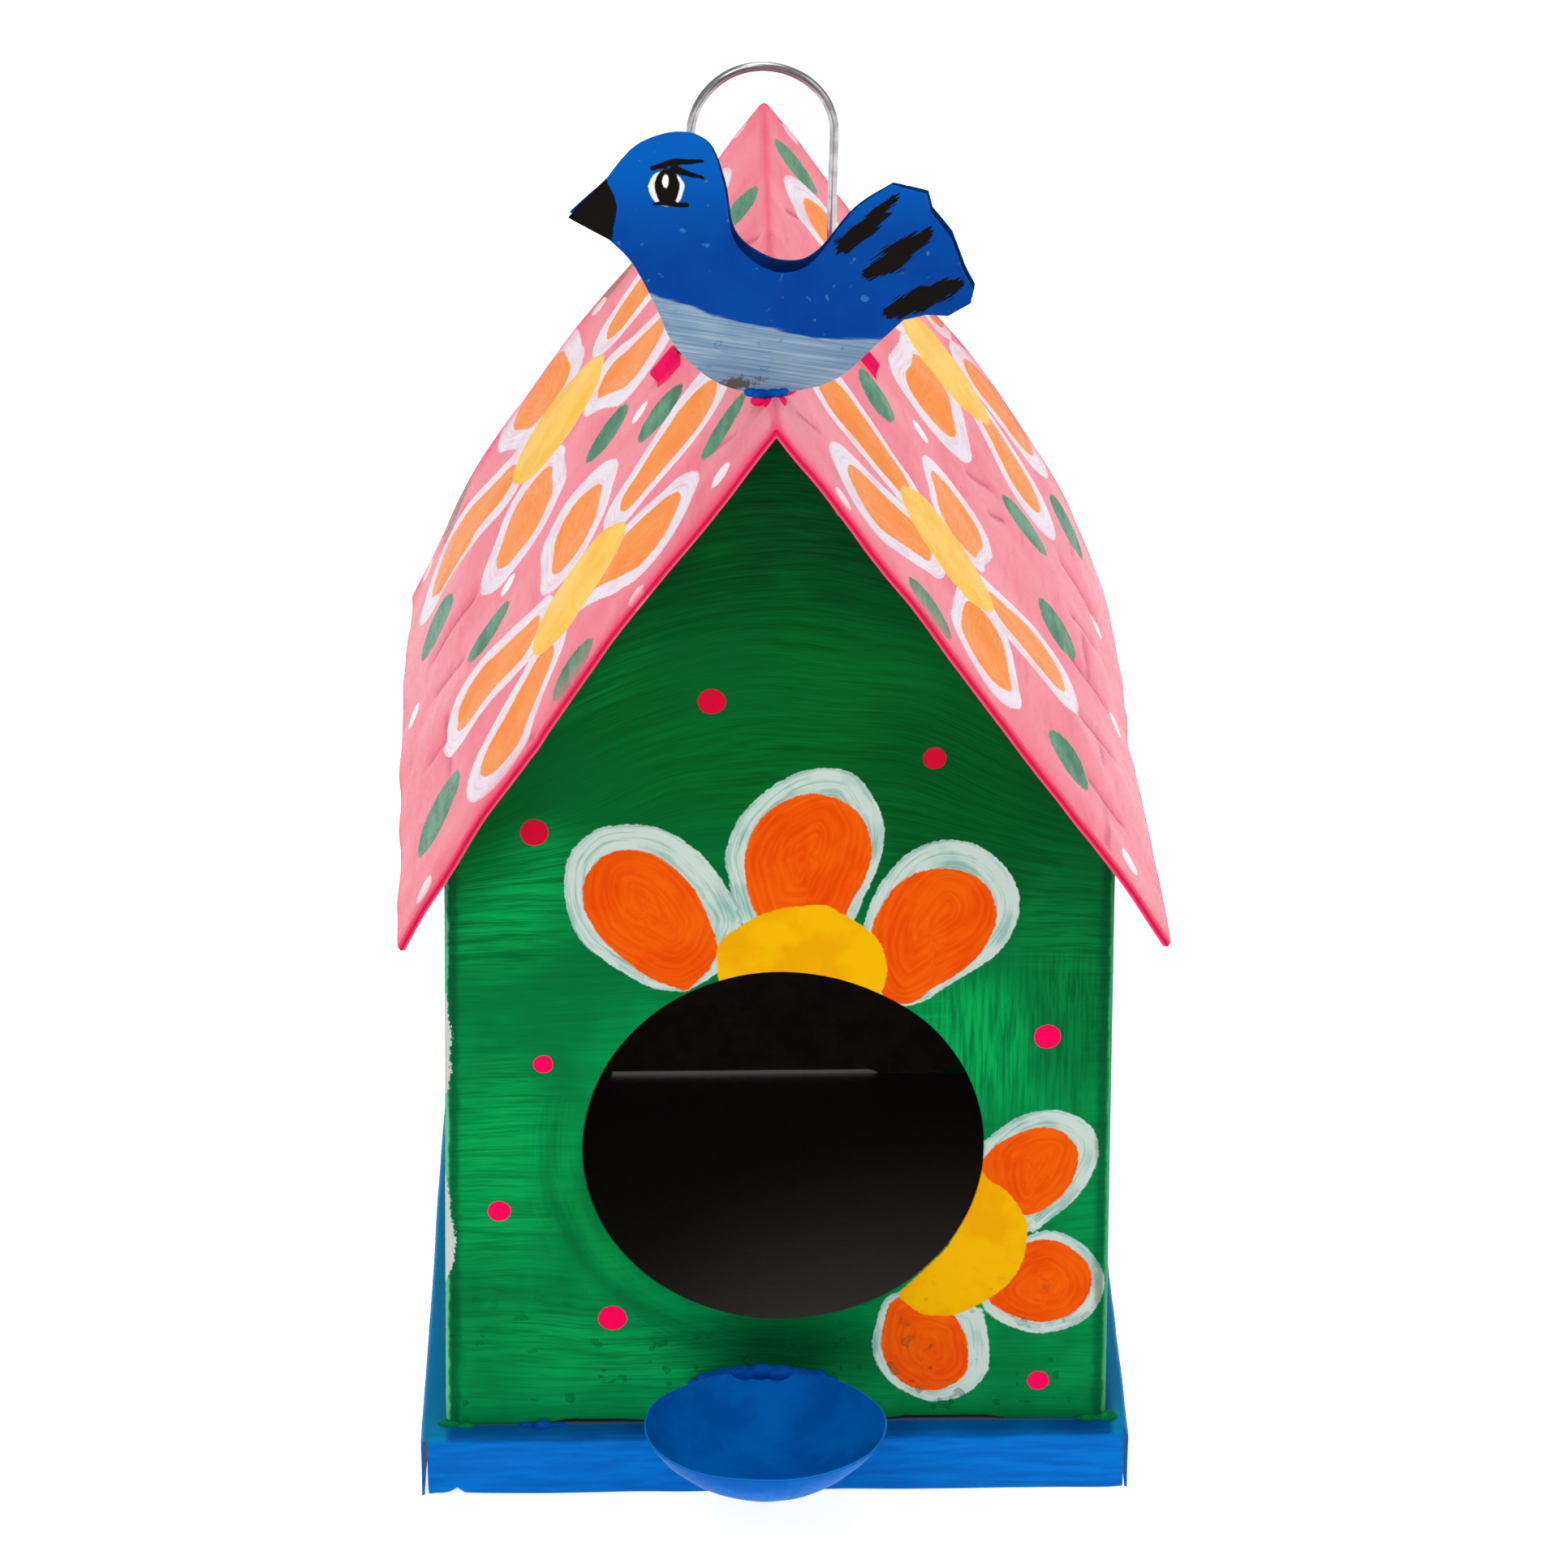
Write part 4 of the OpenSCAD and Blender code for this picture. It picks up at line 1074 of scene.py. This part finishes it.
def tray_piece():
    half_x, half_y = tray_high[0], tray_high[1]
    lip = TRAY_TOP - FOLD_R + ARC - 0.5
    fx, fy = half_x - FOLD_R, half_y - FOLD_R
    wave = 0.2
    outline = [(-fx, -fy), (-fx + 0.1, -fy - lip)]
    outline += [(x, -fy - lip + wave * math.sin(x * 0.11) * math.cos(x * 0.043)
                 + 1.3 * math.exp(-((x + 67.5) / 1.3) ** 4)) for x in np.arange(-fx + 1.5, fx - 2, 1.5)]
    wrap = 1.5
    outline += [(fx - 0.1, -fy - lip), (fx, -fy), (fx + 1.5, -fy - wrap), (fx + lip, -fy - wrap),
                (fx + lip - 0.2, 0), (fx + lip, fy + wrap), (fx + 1.5, fy + wrap), (fx, fy),
                (fx - 0.1, fy + lip), (0, fy + lip - 0.2), (-fx + 0.1, fy + lip), (-fx, fy),
                (-fx - 1.5, fy + wrap), (-fx - lip, fy + wrap), (-fx - lip + 0.2, 0),
                (-fx - lip, -fy - wrap), (-fx - 1.5, -fy - wrap)]
    pattern = flat_pattern(outline, [], [(-fx - lip, fx + lip, 1.35)])

    def place(uv, depth):
        u, v = uv[:, 0], uv[:, 1]
        x, drop_x, ax = fold(u, fx, FOLD_R)
        y, drop_y, ay = fold(v, fy, FOLD_R)
        dent = 0.35 * value_noise(u, v, 30, 25) + 0.12 * value_noise(u, v, 9, 26) - 0.3
        on_lip = np.maximum(smooth(fx - 2, fx + 4, np.abs(u)), smooth(fy - 2, fy + 4, np.abs(v)))
        inwards = depth - dent * np.where(on_lip > 0, on_lip, 0.3)
        nx, ny = np.sign(u) * np.sin(ax), np.sign(v) * np.sin(ay)
        nz = np.cos(ax) * np.cos(ay)
        x = np.where(x < 0, x * 1.024, x)
        return np.stack([x - nx * inwards, y - ny * inwards, TRAY_TOP - drop_x - drop_y - nz * inwards], 1)

    u, v = pattern[0][:, 0], pattern[0][:, 1]
    values = {"indoors": (np.abs(u) < HALF_W - 0.5) & (v < BACK_Y + 2.5) & (v > -BACK_Y + 0.5)}
    obj = folded_sheet("base_tray_visual", pattern, place, [TRAY, INSIDE], values, SHEET)
    return keep(obj, "blue_paint", "base_tray")


BIRD_BACK_LINE = [(-32.6, 46), (-27, 52.5), (-19, 55.2), (-13, 53), (-10, 44), (-8.2, 33), (-2.3, 27),
                  (3.5, 26), (8.4, 29), (15.5, 38.5), (23, 44)]
BIRD_TAIL = [(29.7, 42), (30.5, 38.3), (34.5, 33), (37, 26), (39, 22), (38.6, 19.2), (34.2, 16.5),
             (29.8, 16.8)]
BIRD_BELLY_LINE = [(25.3, 15.7), (19.5, 10), (12.5, 3.2), (4, 0.3), (-6, 0.4), (-13.2, 3.5), (-20, 11),
                   (-23.7, 20), (-28, 28.5), (-32.4, 33.4)]
BIRD_OUTLINE = ([(-40.3, 38)] + [tuple(q) for q in curve(BIRD_BACK_LINE)] + BIRD_TAIL
                + [tuple(q) for q in curve(BIRD_BELLY_LINE)])
BELLY_LINE = [(-25, 22), (-20, 20.5), (-10, 16.5), (0, 14), (8, 12), (13, 11.5), (21, 11.5)]


def bird_values(p):
    beak = outline_distance(p, [(-44, 38), (-34, 48), (-32.5, 46), (-30.8, 40), (-32, 33.5), (-34, 30)])
    pupil = ellipse(p, (-21, 44), 2.4, 3.8)
    lids = [round_cone(p, (-24.0, 47.8), 0.5, (-19.3, 49.2), 0.7),
            round_cone(p, (-19.3, 49.2), 0.7, (-14.2, 49.3), 0.4),
            round_cone(p, (-19.6, 47.6), 0.8, (-13.8, 45.9), 0.35),
            round_cone(p, (-23.8, 40.7), 0.35, (-17.2, 40.3), 0.5)]
    strokes = [round_cone(p, (13.2, 31.2), 1.5, (17.5, 34.8), 2.2),
               round_cone(p, (17.5, 34.8), 2.2, (23.4, 41.2), 0.9),
               round_cone(p, (18.6, 25.6), 1.2, (23.6, 29.0), 2.7),
               round_cone(p, (23.6, 29.0), 2.7, (29.8, 34.0), 1.2),
               round_cone(p, (22.6, 17.4), 1.5, (28.6, 20.0), 2.8),
               round_cone(p, (28.6, 20.0), 2.8, (36.0, 23.2), 1.3)]
    line = np.array(BELLY_LINE, float)
    belly = p[:, 1] - np.interp(p[:, 0], line[:, 0], line[:, 1])
    belly = np.where((p[:, 0] > 22) | (p[:, 0] < -26), 9.0, belly)
    return {"ink": nearest([beak, pupil] + lids), "tail_ink": nearest(strokes), "belly": belly * 0.8,
            "eye_white": ellipse(p, (-21.2, 43.8), 3.5, 3.7), "glint": ellipse(p, (-21.2, 45.2), 0.6, 1.4),
            "rust": ellipse(p, (-8, 2.0), 4.5, 1.3, 10)}


def bird_piece(name, node, material, seed, lean, wide=0.993, shift=0.0, dip=0.0, crown=0.0):
    low, high = box_mm(node)
    pattern = flat_pattern(BIRD_OUTLINE, [], [(-60, 60, 0.62)])

    def place(uv, depth):
        u, v = uv[:, 0], uv[:, 1]
        bent = lean * (v / 55) ** 2 + 0.35 * value_noise(u, v, 16, seed) * smooth(0, 12, v)
        lift = np.interp(v, [0, 22, 57], [0.8, -0.1, -0.2]) + dip * np.exp(-((u + 1) / 9) ** 2)
        lift = lift + crown * smooth(34, 52, v)
        return np.stack([u * wide + shift, low[1] + depth + bent, v + lift + low[2]], 1)

    values = bird_values(wobble_points(pattern[0], 0.25, 4, 91))
    obj = folded_sheet(name, pattern, place, [material, BIRD_SHADED], values, SHEET)
    return keep(obj, "bird_paint", node)


def dish_piece():
    rim_r, depth = 25.4, 13.8
    bowl_r = (rim_r**2 + depth**2) / (2 * depth)
    reach = bowl_r * math.asin(rim_r / bowl_r)
    turns = np.radians(np.arange(0, 360, 2))
    wavy = reach + 0.25 * np.sin(3 * turns) + 0.2 * np.sin(7 * turns + 1)
    pattern = flat_pattern([(r * math.cos(a), r * math.sin(a)) for a, r in zip(turns, wavy)], [],
                           [(-40, 40, 0.75)])
    tilt = math.radians(5.6)
    hub_y, hub_z = FRONT_Y - 0.02, 27.0

    def place(uv, thick):
        flat = np.hypot(uv[:, 0], uv[:, 1]) + 1e-9
        angle = flat / bowl_r
        dent = 0.22 * value_noise(uv[:, 0], uv[:, 1], 12, 35) + 0.1 * value_noise(uv[:, 0], uv[:, 1], 4, 36)
        r = bowl_r + dent * smooth(0, 6, reach - flat) - SHEET + thick
        x = r * np.sin(angle) * uv[:, 0] / flat
        y = r * np.sin(angle) * uv[:, 1] / flat - rim_r
        z = bowl_r - depth - r * np.cos(angle)
        return np.stack([x - 3.3, hub_y + y * math.cos(tilt) + z * math.sin(tilt),
                         hub_z - y * math.sin(tilt) + z * math.cos(tilt)], 1)

    obj = folded_sheet("feeder_dish_visual", pattern, place, [DISH, DISH], {}, SHEET)
    return keep(obj, "blue_paint", "feeder_dish")


def tube(name, points, radius, material, around=18):
    """A wire along points, with rounded ends."""
    points = np.array(points, float)
    along = np.gradient(points, axis=0)
    along /= np.linalg.norm(along, axis=1)[:, None]
    side = np.cross(along[0], [0, 1, 0.01])
    rings, n = [], len(points)
    for k in range(n):
        side = side - along[k] * (side @ along[k])
        side /= np.linalg.norm(side)
        up = np.cross(along[k], side)
        to_end = min(k, n - 1 - k)
        r = radius * (1, 0.97, 0.8, 0.45)[3 - to_end] if to_end < 4 else radius
        a = np.arange(around) * 2 * math.pi / around
        rings.append(points[k] + r * (np.cos(a)[:, None] * side + np.sin(a)[:, None] * up))
    verts = np.vstack(rings + [points[:1], points[-1:]])
    faces = []
    for k in range(n - 1):
        for j in range(around):
            a, b = k * around + j, k * around + (j + 1) % around
            faces.append((a, b, b + around, a + around))
    caps = [(n * around, (j + 1) % around, j) for j in range(around)]
    base = (n - 1) * around
    caps += [(n * around + 1, base + j, base + (j + 1) % around) for j in range(around)]
    mesh_faces = [list(f) for f in faces] + [list(f) for f in caps]
    mesh = bpy.data.meshes.new(name)
    mesh.from_pydata((verts * MM).tolist(), [], mesh_faces)
    mesh.polygons.foreach_set("use_smooth", np.ones(len(mesh.polygons), bool))
    mesh.materials.append(material)
    obj = bpy.data.objects.new(name, mesh)
    bpy.context.scene.collection.objects.link(obj)
    return obj


HANGER_X, HANGER_Y, ARCH_R, ARCH_Z = -1.4, 6.5, 14.9, 275.7


def on_roof(x, y, height):
    """Point at a height above the roof's outer face, at a distance x from the middle."""
    s = np.array([math.copysign(abs(x) / math.cos(PITCH) + 0.6, x)])
    point, normal = roof_smooth(np.array([float(y)]), s)
    return (point + normal * (height - 0.6))[0]


def hanger_piece():
    points = []
    for side in (-1, 1):
        x = HANGER_X + side * ARCH_R
        elbow = on_roof(x, HANGER_Y, WIRE_R)
        foot_x = x + side * (6.6 if side > 0 else 4.0)
        foot = on_roof(foot_x, HANGER_Y + 0.3, WIRE_R)
        leg = [foot + (elbow - foot) * t for t in np.linspace(0, 0.86, 9)]
        corner = [elbow + (foot - elbow) * 0.07, elbow + np.array([-side * 0.1, 0, 1.0])]
        rise = [np.array([x - side * 0.5 * math.sin(t * math.pi), HANGER_Y, elbow[2] + (ARCH_Z - elbow[2]) * t])
                for t in np.linspace(0.06, 0.97, 26)]
        points.append(leg + corner + rise)
    top = [np.array([HANGER_X + ARCH_R * math.cos(a) * (1 + 0.015 * math.sin(2 * a)), HANGER_Y,
                     ARCH_Z + ARCH_R * math.sin(a)])
           for a in np.radians(np.arange(180, -1, -5))]
    obj = tube("hanger_wire_visual", curve(points[0] + top + points[1][::-1], 2), WIRE_R, WIRE)
    return keep(obj, "galvanised_wire", "hanger_wire")


def tab_piece(name, node, side):
    """Strap over one foot of the wire, soldered down at both ends."""
    x = abs(HANGER_X + side * ARCH_R) + 2.2
    start = x / math.cos(PITCH) + 0.6 - (2.2 if side < 0 else 0.6)
    outline = [(-8.6, 0.6), (-7.8, 0), (7.6, 0.1), (8.8, 0.9), (9.0, 6.6), (8.0, 7.5)]
    outline += [(-8.2, 7.4), (-9.0, 6.4)] if side < 0 else [(-1.0, 8.2), (-7.0, 12.4), (-9.6, 12.0)]
    pattern = flat_pattern(outline, [], [(-12, 12, 0.45)])

    def place(uv, depth):
        u, v = uv[:, 0], uv[:, 1]
        point, normal = roof_smooth(HANGER_Y + u, side * (start + v))
        rise = 2.0 * np.exp(-(np.abs(u) / 1.75) ** 3.2)
        flow = 0.25 * value_noise(u, v, 3.0, 45 + side) - 0.5 * smooth(6.5, 9, np.abs(u))
        return point + normal * (SHEET + rise + flow * smooth(1.8, 3, np.abs(u)) - depth - 0.5)[:, None]

    obj = folded_sheet(name, pattern, place, [MAGENTA, MAGENTA], {}, SHEET, flip=(side > 0))
    return keep(obj, "magenta_paint", node)


def lump(centre, radii, seed, rough=0.14):
    """Vertices and triangles of one rounded lump of solder."""
    rows, cols = 18, 28
    lat = np.pi * (np.arange(1, rows) / rows)
    lon = 2 * np.pi * np.arange(cols) / cols
    la, lo = np.meshgrid(lat, lon, indexing="ij")
    unit = np.stack([np.sin(la) * np.cos(lo), np.sin(la) * np.sin(lo), np.cos(la)], -1).reshape(-1, 3)
    unit = np.vstack([unit, [[0, 0, 1], [0, 0, -1]]])
    rng = np.random.default_rng(seed)
    swell = np.ones(len(unit))
    for k in range(5):
        way = rng.normal(size=3)
        way /= np.linalg.norm(way)
        swell += rough * rng.uniform(-1, 1) * np.exp(3 * (unit @ way - 1))
    verts = np.array(centre) + unit * np.array(radii) * swell[:, None]
    tris = []
    for i in range(rows - 2):
        for j in range(cols):
            a, b = i * cols + j, i * cols + (j + 1) % cols
            tris += [(a, a + cols, b + cols), (a, b + cols, b)]
    top, bottom, last = (rows - 1) * cols, (rows - 1) * cols + 1, (rows - 2) * cols
    for j in range(cols):
        tris += [(top, j, (j + 1) % cols), (bottom, last + (j + 1) % cols, last + j)]
    return verts, np.array(tris)


def lumps_piece(name, node, slot_name, lumps, materials, which=None):
    verts, tris, slots, count = [], [], [], 0
    for k, (centre, radii) in enumerate(lumps):
        v, t = lump(centre, radii, 300 + 7 * k + len(name))
        verts.append(v)
        tris.append(t + count)
        slots.append(np.full(len(t), which[k] if which else 0))
        count += len(v)
    obj = make_mesh(name, np.vstack(verts), np.vstack(tris), materials, np.concatenate(slots))
    return keep(obj, slot_name, node)


roof_piece()
shell_piece()
back_wall_piece()
tray_piece()
bird_piece("bird_front_visual", "bird_front", BIRD, 51, 0.5)
bird_piece("bird_back_visual", "bird_back", BIRD_SHADED, 52, -0.4, 0.996, 0.35, 1.5, -1.3)
dish_piece()
hanger_piece()
tab_piece("hanger_tab_left_visual", "hanger_tab_left", -1)
tab_piece("hanger_tab_right_visual", "hanger_tab_right", 1)
DISH_X, DISH_Z = -3.3, 27.0
dish_lumps = [(-14.2, -2.6, 1.7, 1.4), (-11.6, -1.4, 2.4, 1.7), (-8.2, -0.6, 2.6, 2.0),
              (-4.6, -0.2, 2.8, 2.1), (-0.6, 0.1, 3.0, 2.3), (3.6, -0.2, 2.9, 2.1), (7.2, -0.7, 2.5, 1.9),
              (10.6, -1.2, 2.4, 1.8), (13.6, -2.4, 1.8, 1.4), (-2.4, -3.2, 1.6, 1.3), (9.2, -3.6, 1.3, 1.1),
              (4.4, -3.4, 1.1, 0.9)]
lumps_piece("dish_solder_visual", "dish_solder", "blue_paint",
            [((DISH_X + dx, FRONT_Y - 0.2, DISH_Z + dz), (r * 1.15, r * 0.62, h * 0.85))
             for dx, dz, r, h in dish_lumps], [BLUE_LUMP])
BASE_LUMPS = [((-HALF_W - 0.9, FRONT_Y + 0.8, TRAY_TOP - 0.1), (2.4, 1.6, 1.3)),
              ((-HALF_W + 2.6, FRONT_Y - 0.1, TRAY_TOP - 0.2), (2.2, 1.1, 0.9)),
              ((HALF_W + 0.1, FRONT_Y + 0.8, TRAY_TOP), (2.6, 1.6, 1.5)),
              ((HALF_W - 3.4, FRONT_Y, TRAY_TOP - 0.1), (2.8, 1.0, 1.1)),
              ((-50.7, FRONT_Y - 0.5, TRAY_TOP - 0.6), (2.1, 1.5, 2.0)),
              ((-53.9, FRONT_Y, TRAY_TOP - 0.3), (1.9, 0.9, 0.9)),
              ((-47.2, FRONT_Y, TRAY_TOP - 0.4), (2.0, 0.9, 0.8)),
              ((-HALF_W - 0.6, 40, TRAY_TOP + 0.2), (1.8, 3.0, 2.0)),
              ((HALF_W + 0.4, 40, TRAY_TOP + 0.2), (1.8, 3.0, 2.0)),
              ((-40, BACK_Y + 0.3, TRAY_TOP + 0.3), (3.0, 2.0, 2.4)),
              ((44, BACK_Y + 0.3, TRAY_TOP + 0.3), (3.0, 2.0, 2.4))]
lumps_piece("wall_base_solder_visual", "wall_base_solder", "green_paint", BASE_LUMPS,
            [GREEN_LUMP, BLUE_LUMP], [0, 0, 0, 0, 1, 1, 1, 0, 0, 0, 0])
BIRD_Y, BIRD_Z = bird_low[1], bird_low[2]
BACK_SHEET_Y = box_mm("bird_back")[0][1]
lumps_piece("bird_solder_visual", "bird_solder", "bird_paint",
            [((-4.8, BIRD_Y - 0.2, BIRD_Z + 0.9), (1.4, 1.0, 0.9)),
             ((-2.9, BIRD_Y - 0.3, BIRD_Z + 0.6), (2.0, 1.2, 1.0)),
             ((-0.2, BIRD_Y - 0.3, BIRD_Z + 0.7), (1.8, 1.2, 0.9)),
             ((1.6, BIRD_Y - 0.2, BIRD_Z + 0.9), (1.1, 0.9, 0.8)),
             ((-3.4, BIRD_Y - 0.8, BIRD_Z - 0.7), (1.6, 1.5, 1.0)),
             ((-1.2, BIRD_Y - 0.9, BIRD_Z - 0.9), (1.6, 1.6, 0.9)),
             ((1.0, BIRD_Y - 0.8, BIRD_Z - 0.9), (1.3, 1.4, 1.1)),
             ((-3.6, BACK_SHEET_Y + 0.8, BIRD_Z), (2.6, 2.0, 1.7)),
             ((1.6, BACK_SHEET_Y + 0.8, BIRD_Z), (2.6, 2.0, 1.7)),
             ((-1, (BIRD_Y + BACK_SHEET_Y) / 2 + 0.3, BIRD_Z + 0.6), (2.4, 2.2, 1.8))],
            [BLUE_LUMP, MAGENTA], [0, 0, 0, 0, 1, 1, 1, 1, 1, 1])

under_roof = []
for side in (-1, 1):
    for s_at in (27, 89):
        for wall_y in (FRONT_Y + 1.5, BACK_Y - 1.5):
            point = roof_place(np.array([[wall_y, side * s_at]]), SHEET + 2.6)[0]
            under_roof.append((tuple(point), (2.0, 2.2, 1.9)))
lumps_piece("roof_solder_visual", "roof_solder", "bare_solder", under_roof, [SOLDER])
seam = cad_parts["wall_seam_solder"]
seam.data.materials.clear()
seam.data.materials.append(SOLDER)


# ---------------------------------------------------------------- floor, light and camera
def floor():
    mesh = bpy.data.meshes.new("floor")
    r = 6.0
    mesh.from_pydata([(-r, -r, 0), (r, -r, 0), (r, r, 0), (-r, r, 0)], [], [(0, 1, 2, 3)])
    obj = bpy.data.objects.new("floor", mesh)
    bpy.context.scene.collection.objects.link(obj)
    sh = Shader("floor_white", roughness=0.9, specular=0.0)
    sh.out.inputs["Emission Color"].default_value = (1, 1, 1, 1)
    sh.out.inputs["Emission Strength"].default_value = 0.75
    mesh.materials.append(sh.finish((0.9, 0.9, 0.9, 1.0)))


def area_light(name, place, aim, size, watts):
    data = bpy.data.lights.new(name, "AREA")
    data.shape, data.size, data.energy = "DISK", size, watts
    obj = bpy.data.objects.new(name, data)
    obj.location = place
    obj.rotation_euler = (Vector(aim) - Vector(place)).to_track_quat("-Z", "Y").to_euler()
    bpy.context.scene.collection.objects.link(obj)


def camera():
    azimuth, elevation, distance = math.radians(-0.88), math.radians(26.38), 1.3
    roll = math.radians(-0.17)
    target = Vector((0.00258, 0, 0.1288))
    ca, sa, ce, se = math.cos(azimuth), math.sin(azimuth), math.cos(elevation), math.sin(elevation)
    back = Vector((sa * ce, -ca * ce, se))
    level = Vector((ca, sa, 0))
    up = back.cross(level)
    right = level * math.cos(roll) + up * math.sin(roll)
    up = up * math.cos(roll) - level * math.sin(roll)
    data = bpy.data.cameras.new("camera")
    data.lens, data.sensor_width = 137.57, 36.0
    obj = bpy.data.objects.new("camera", data)
    turn = Matrix((right, up, back)).transposed().to_4x4()
    obj.matrix_world = Matrix.Translation(target + back * distance) @ turn
    bpy.context.scene.collection.objects.link(obj)
    bpy.context.scene.camera = obj


floor()
area_light("key", (-0.5, -0.9, 1.3), (0, 0, 0.12), 0.9, 6.5)
area_light("top", (0, 0.05, 1.65), (0, 0, 0.15), 1.0, 9)
area_light("fill", (1.1, -0.6, 0.8), (0, 0, 0.12), 1.0, 3)
area_light("back", (0.2, 1.2, 1.2), (0, 0, 0.2), 1.2, 3.5)
world = bpy.data.worlds.new("studio")
bpy.context.scene.world = world
world.use_nodes = True
world.node_tree.nodes["Background"].inputs["Color"].default_value = (1, 1, 1, 1)
world.node_tree.nodes["Background"].inputs["Strength"].default_value = 0.4
bpy.context.scene.view_settings.view_transform = "Standard"
camera()
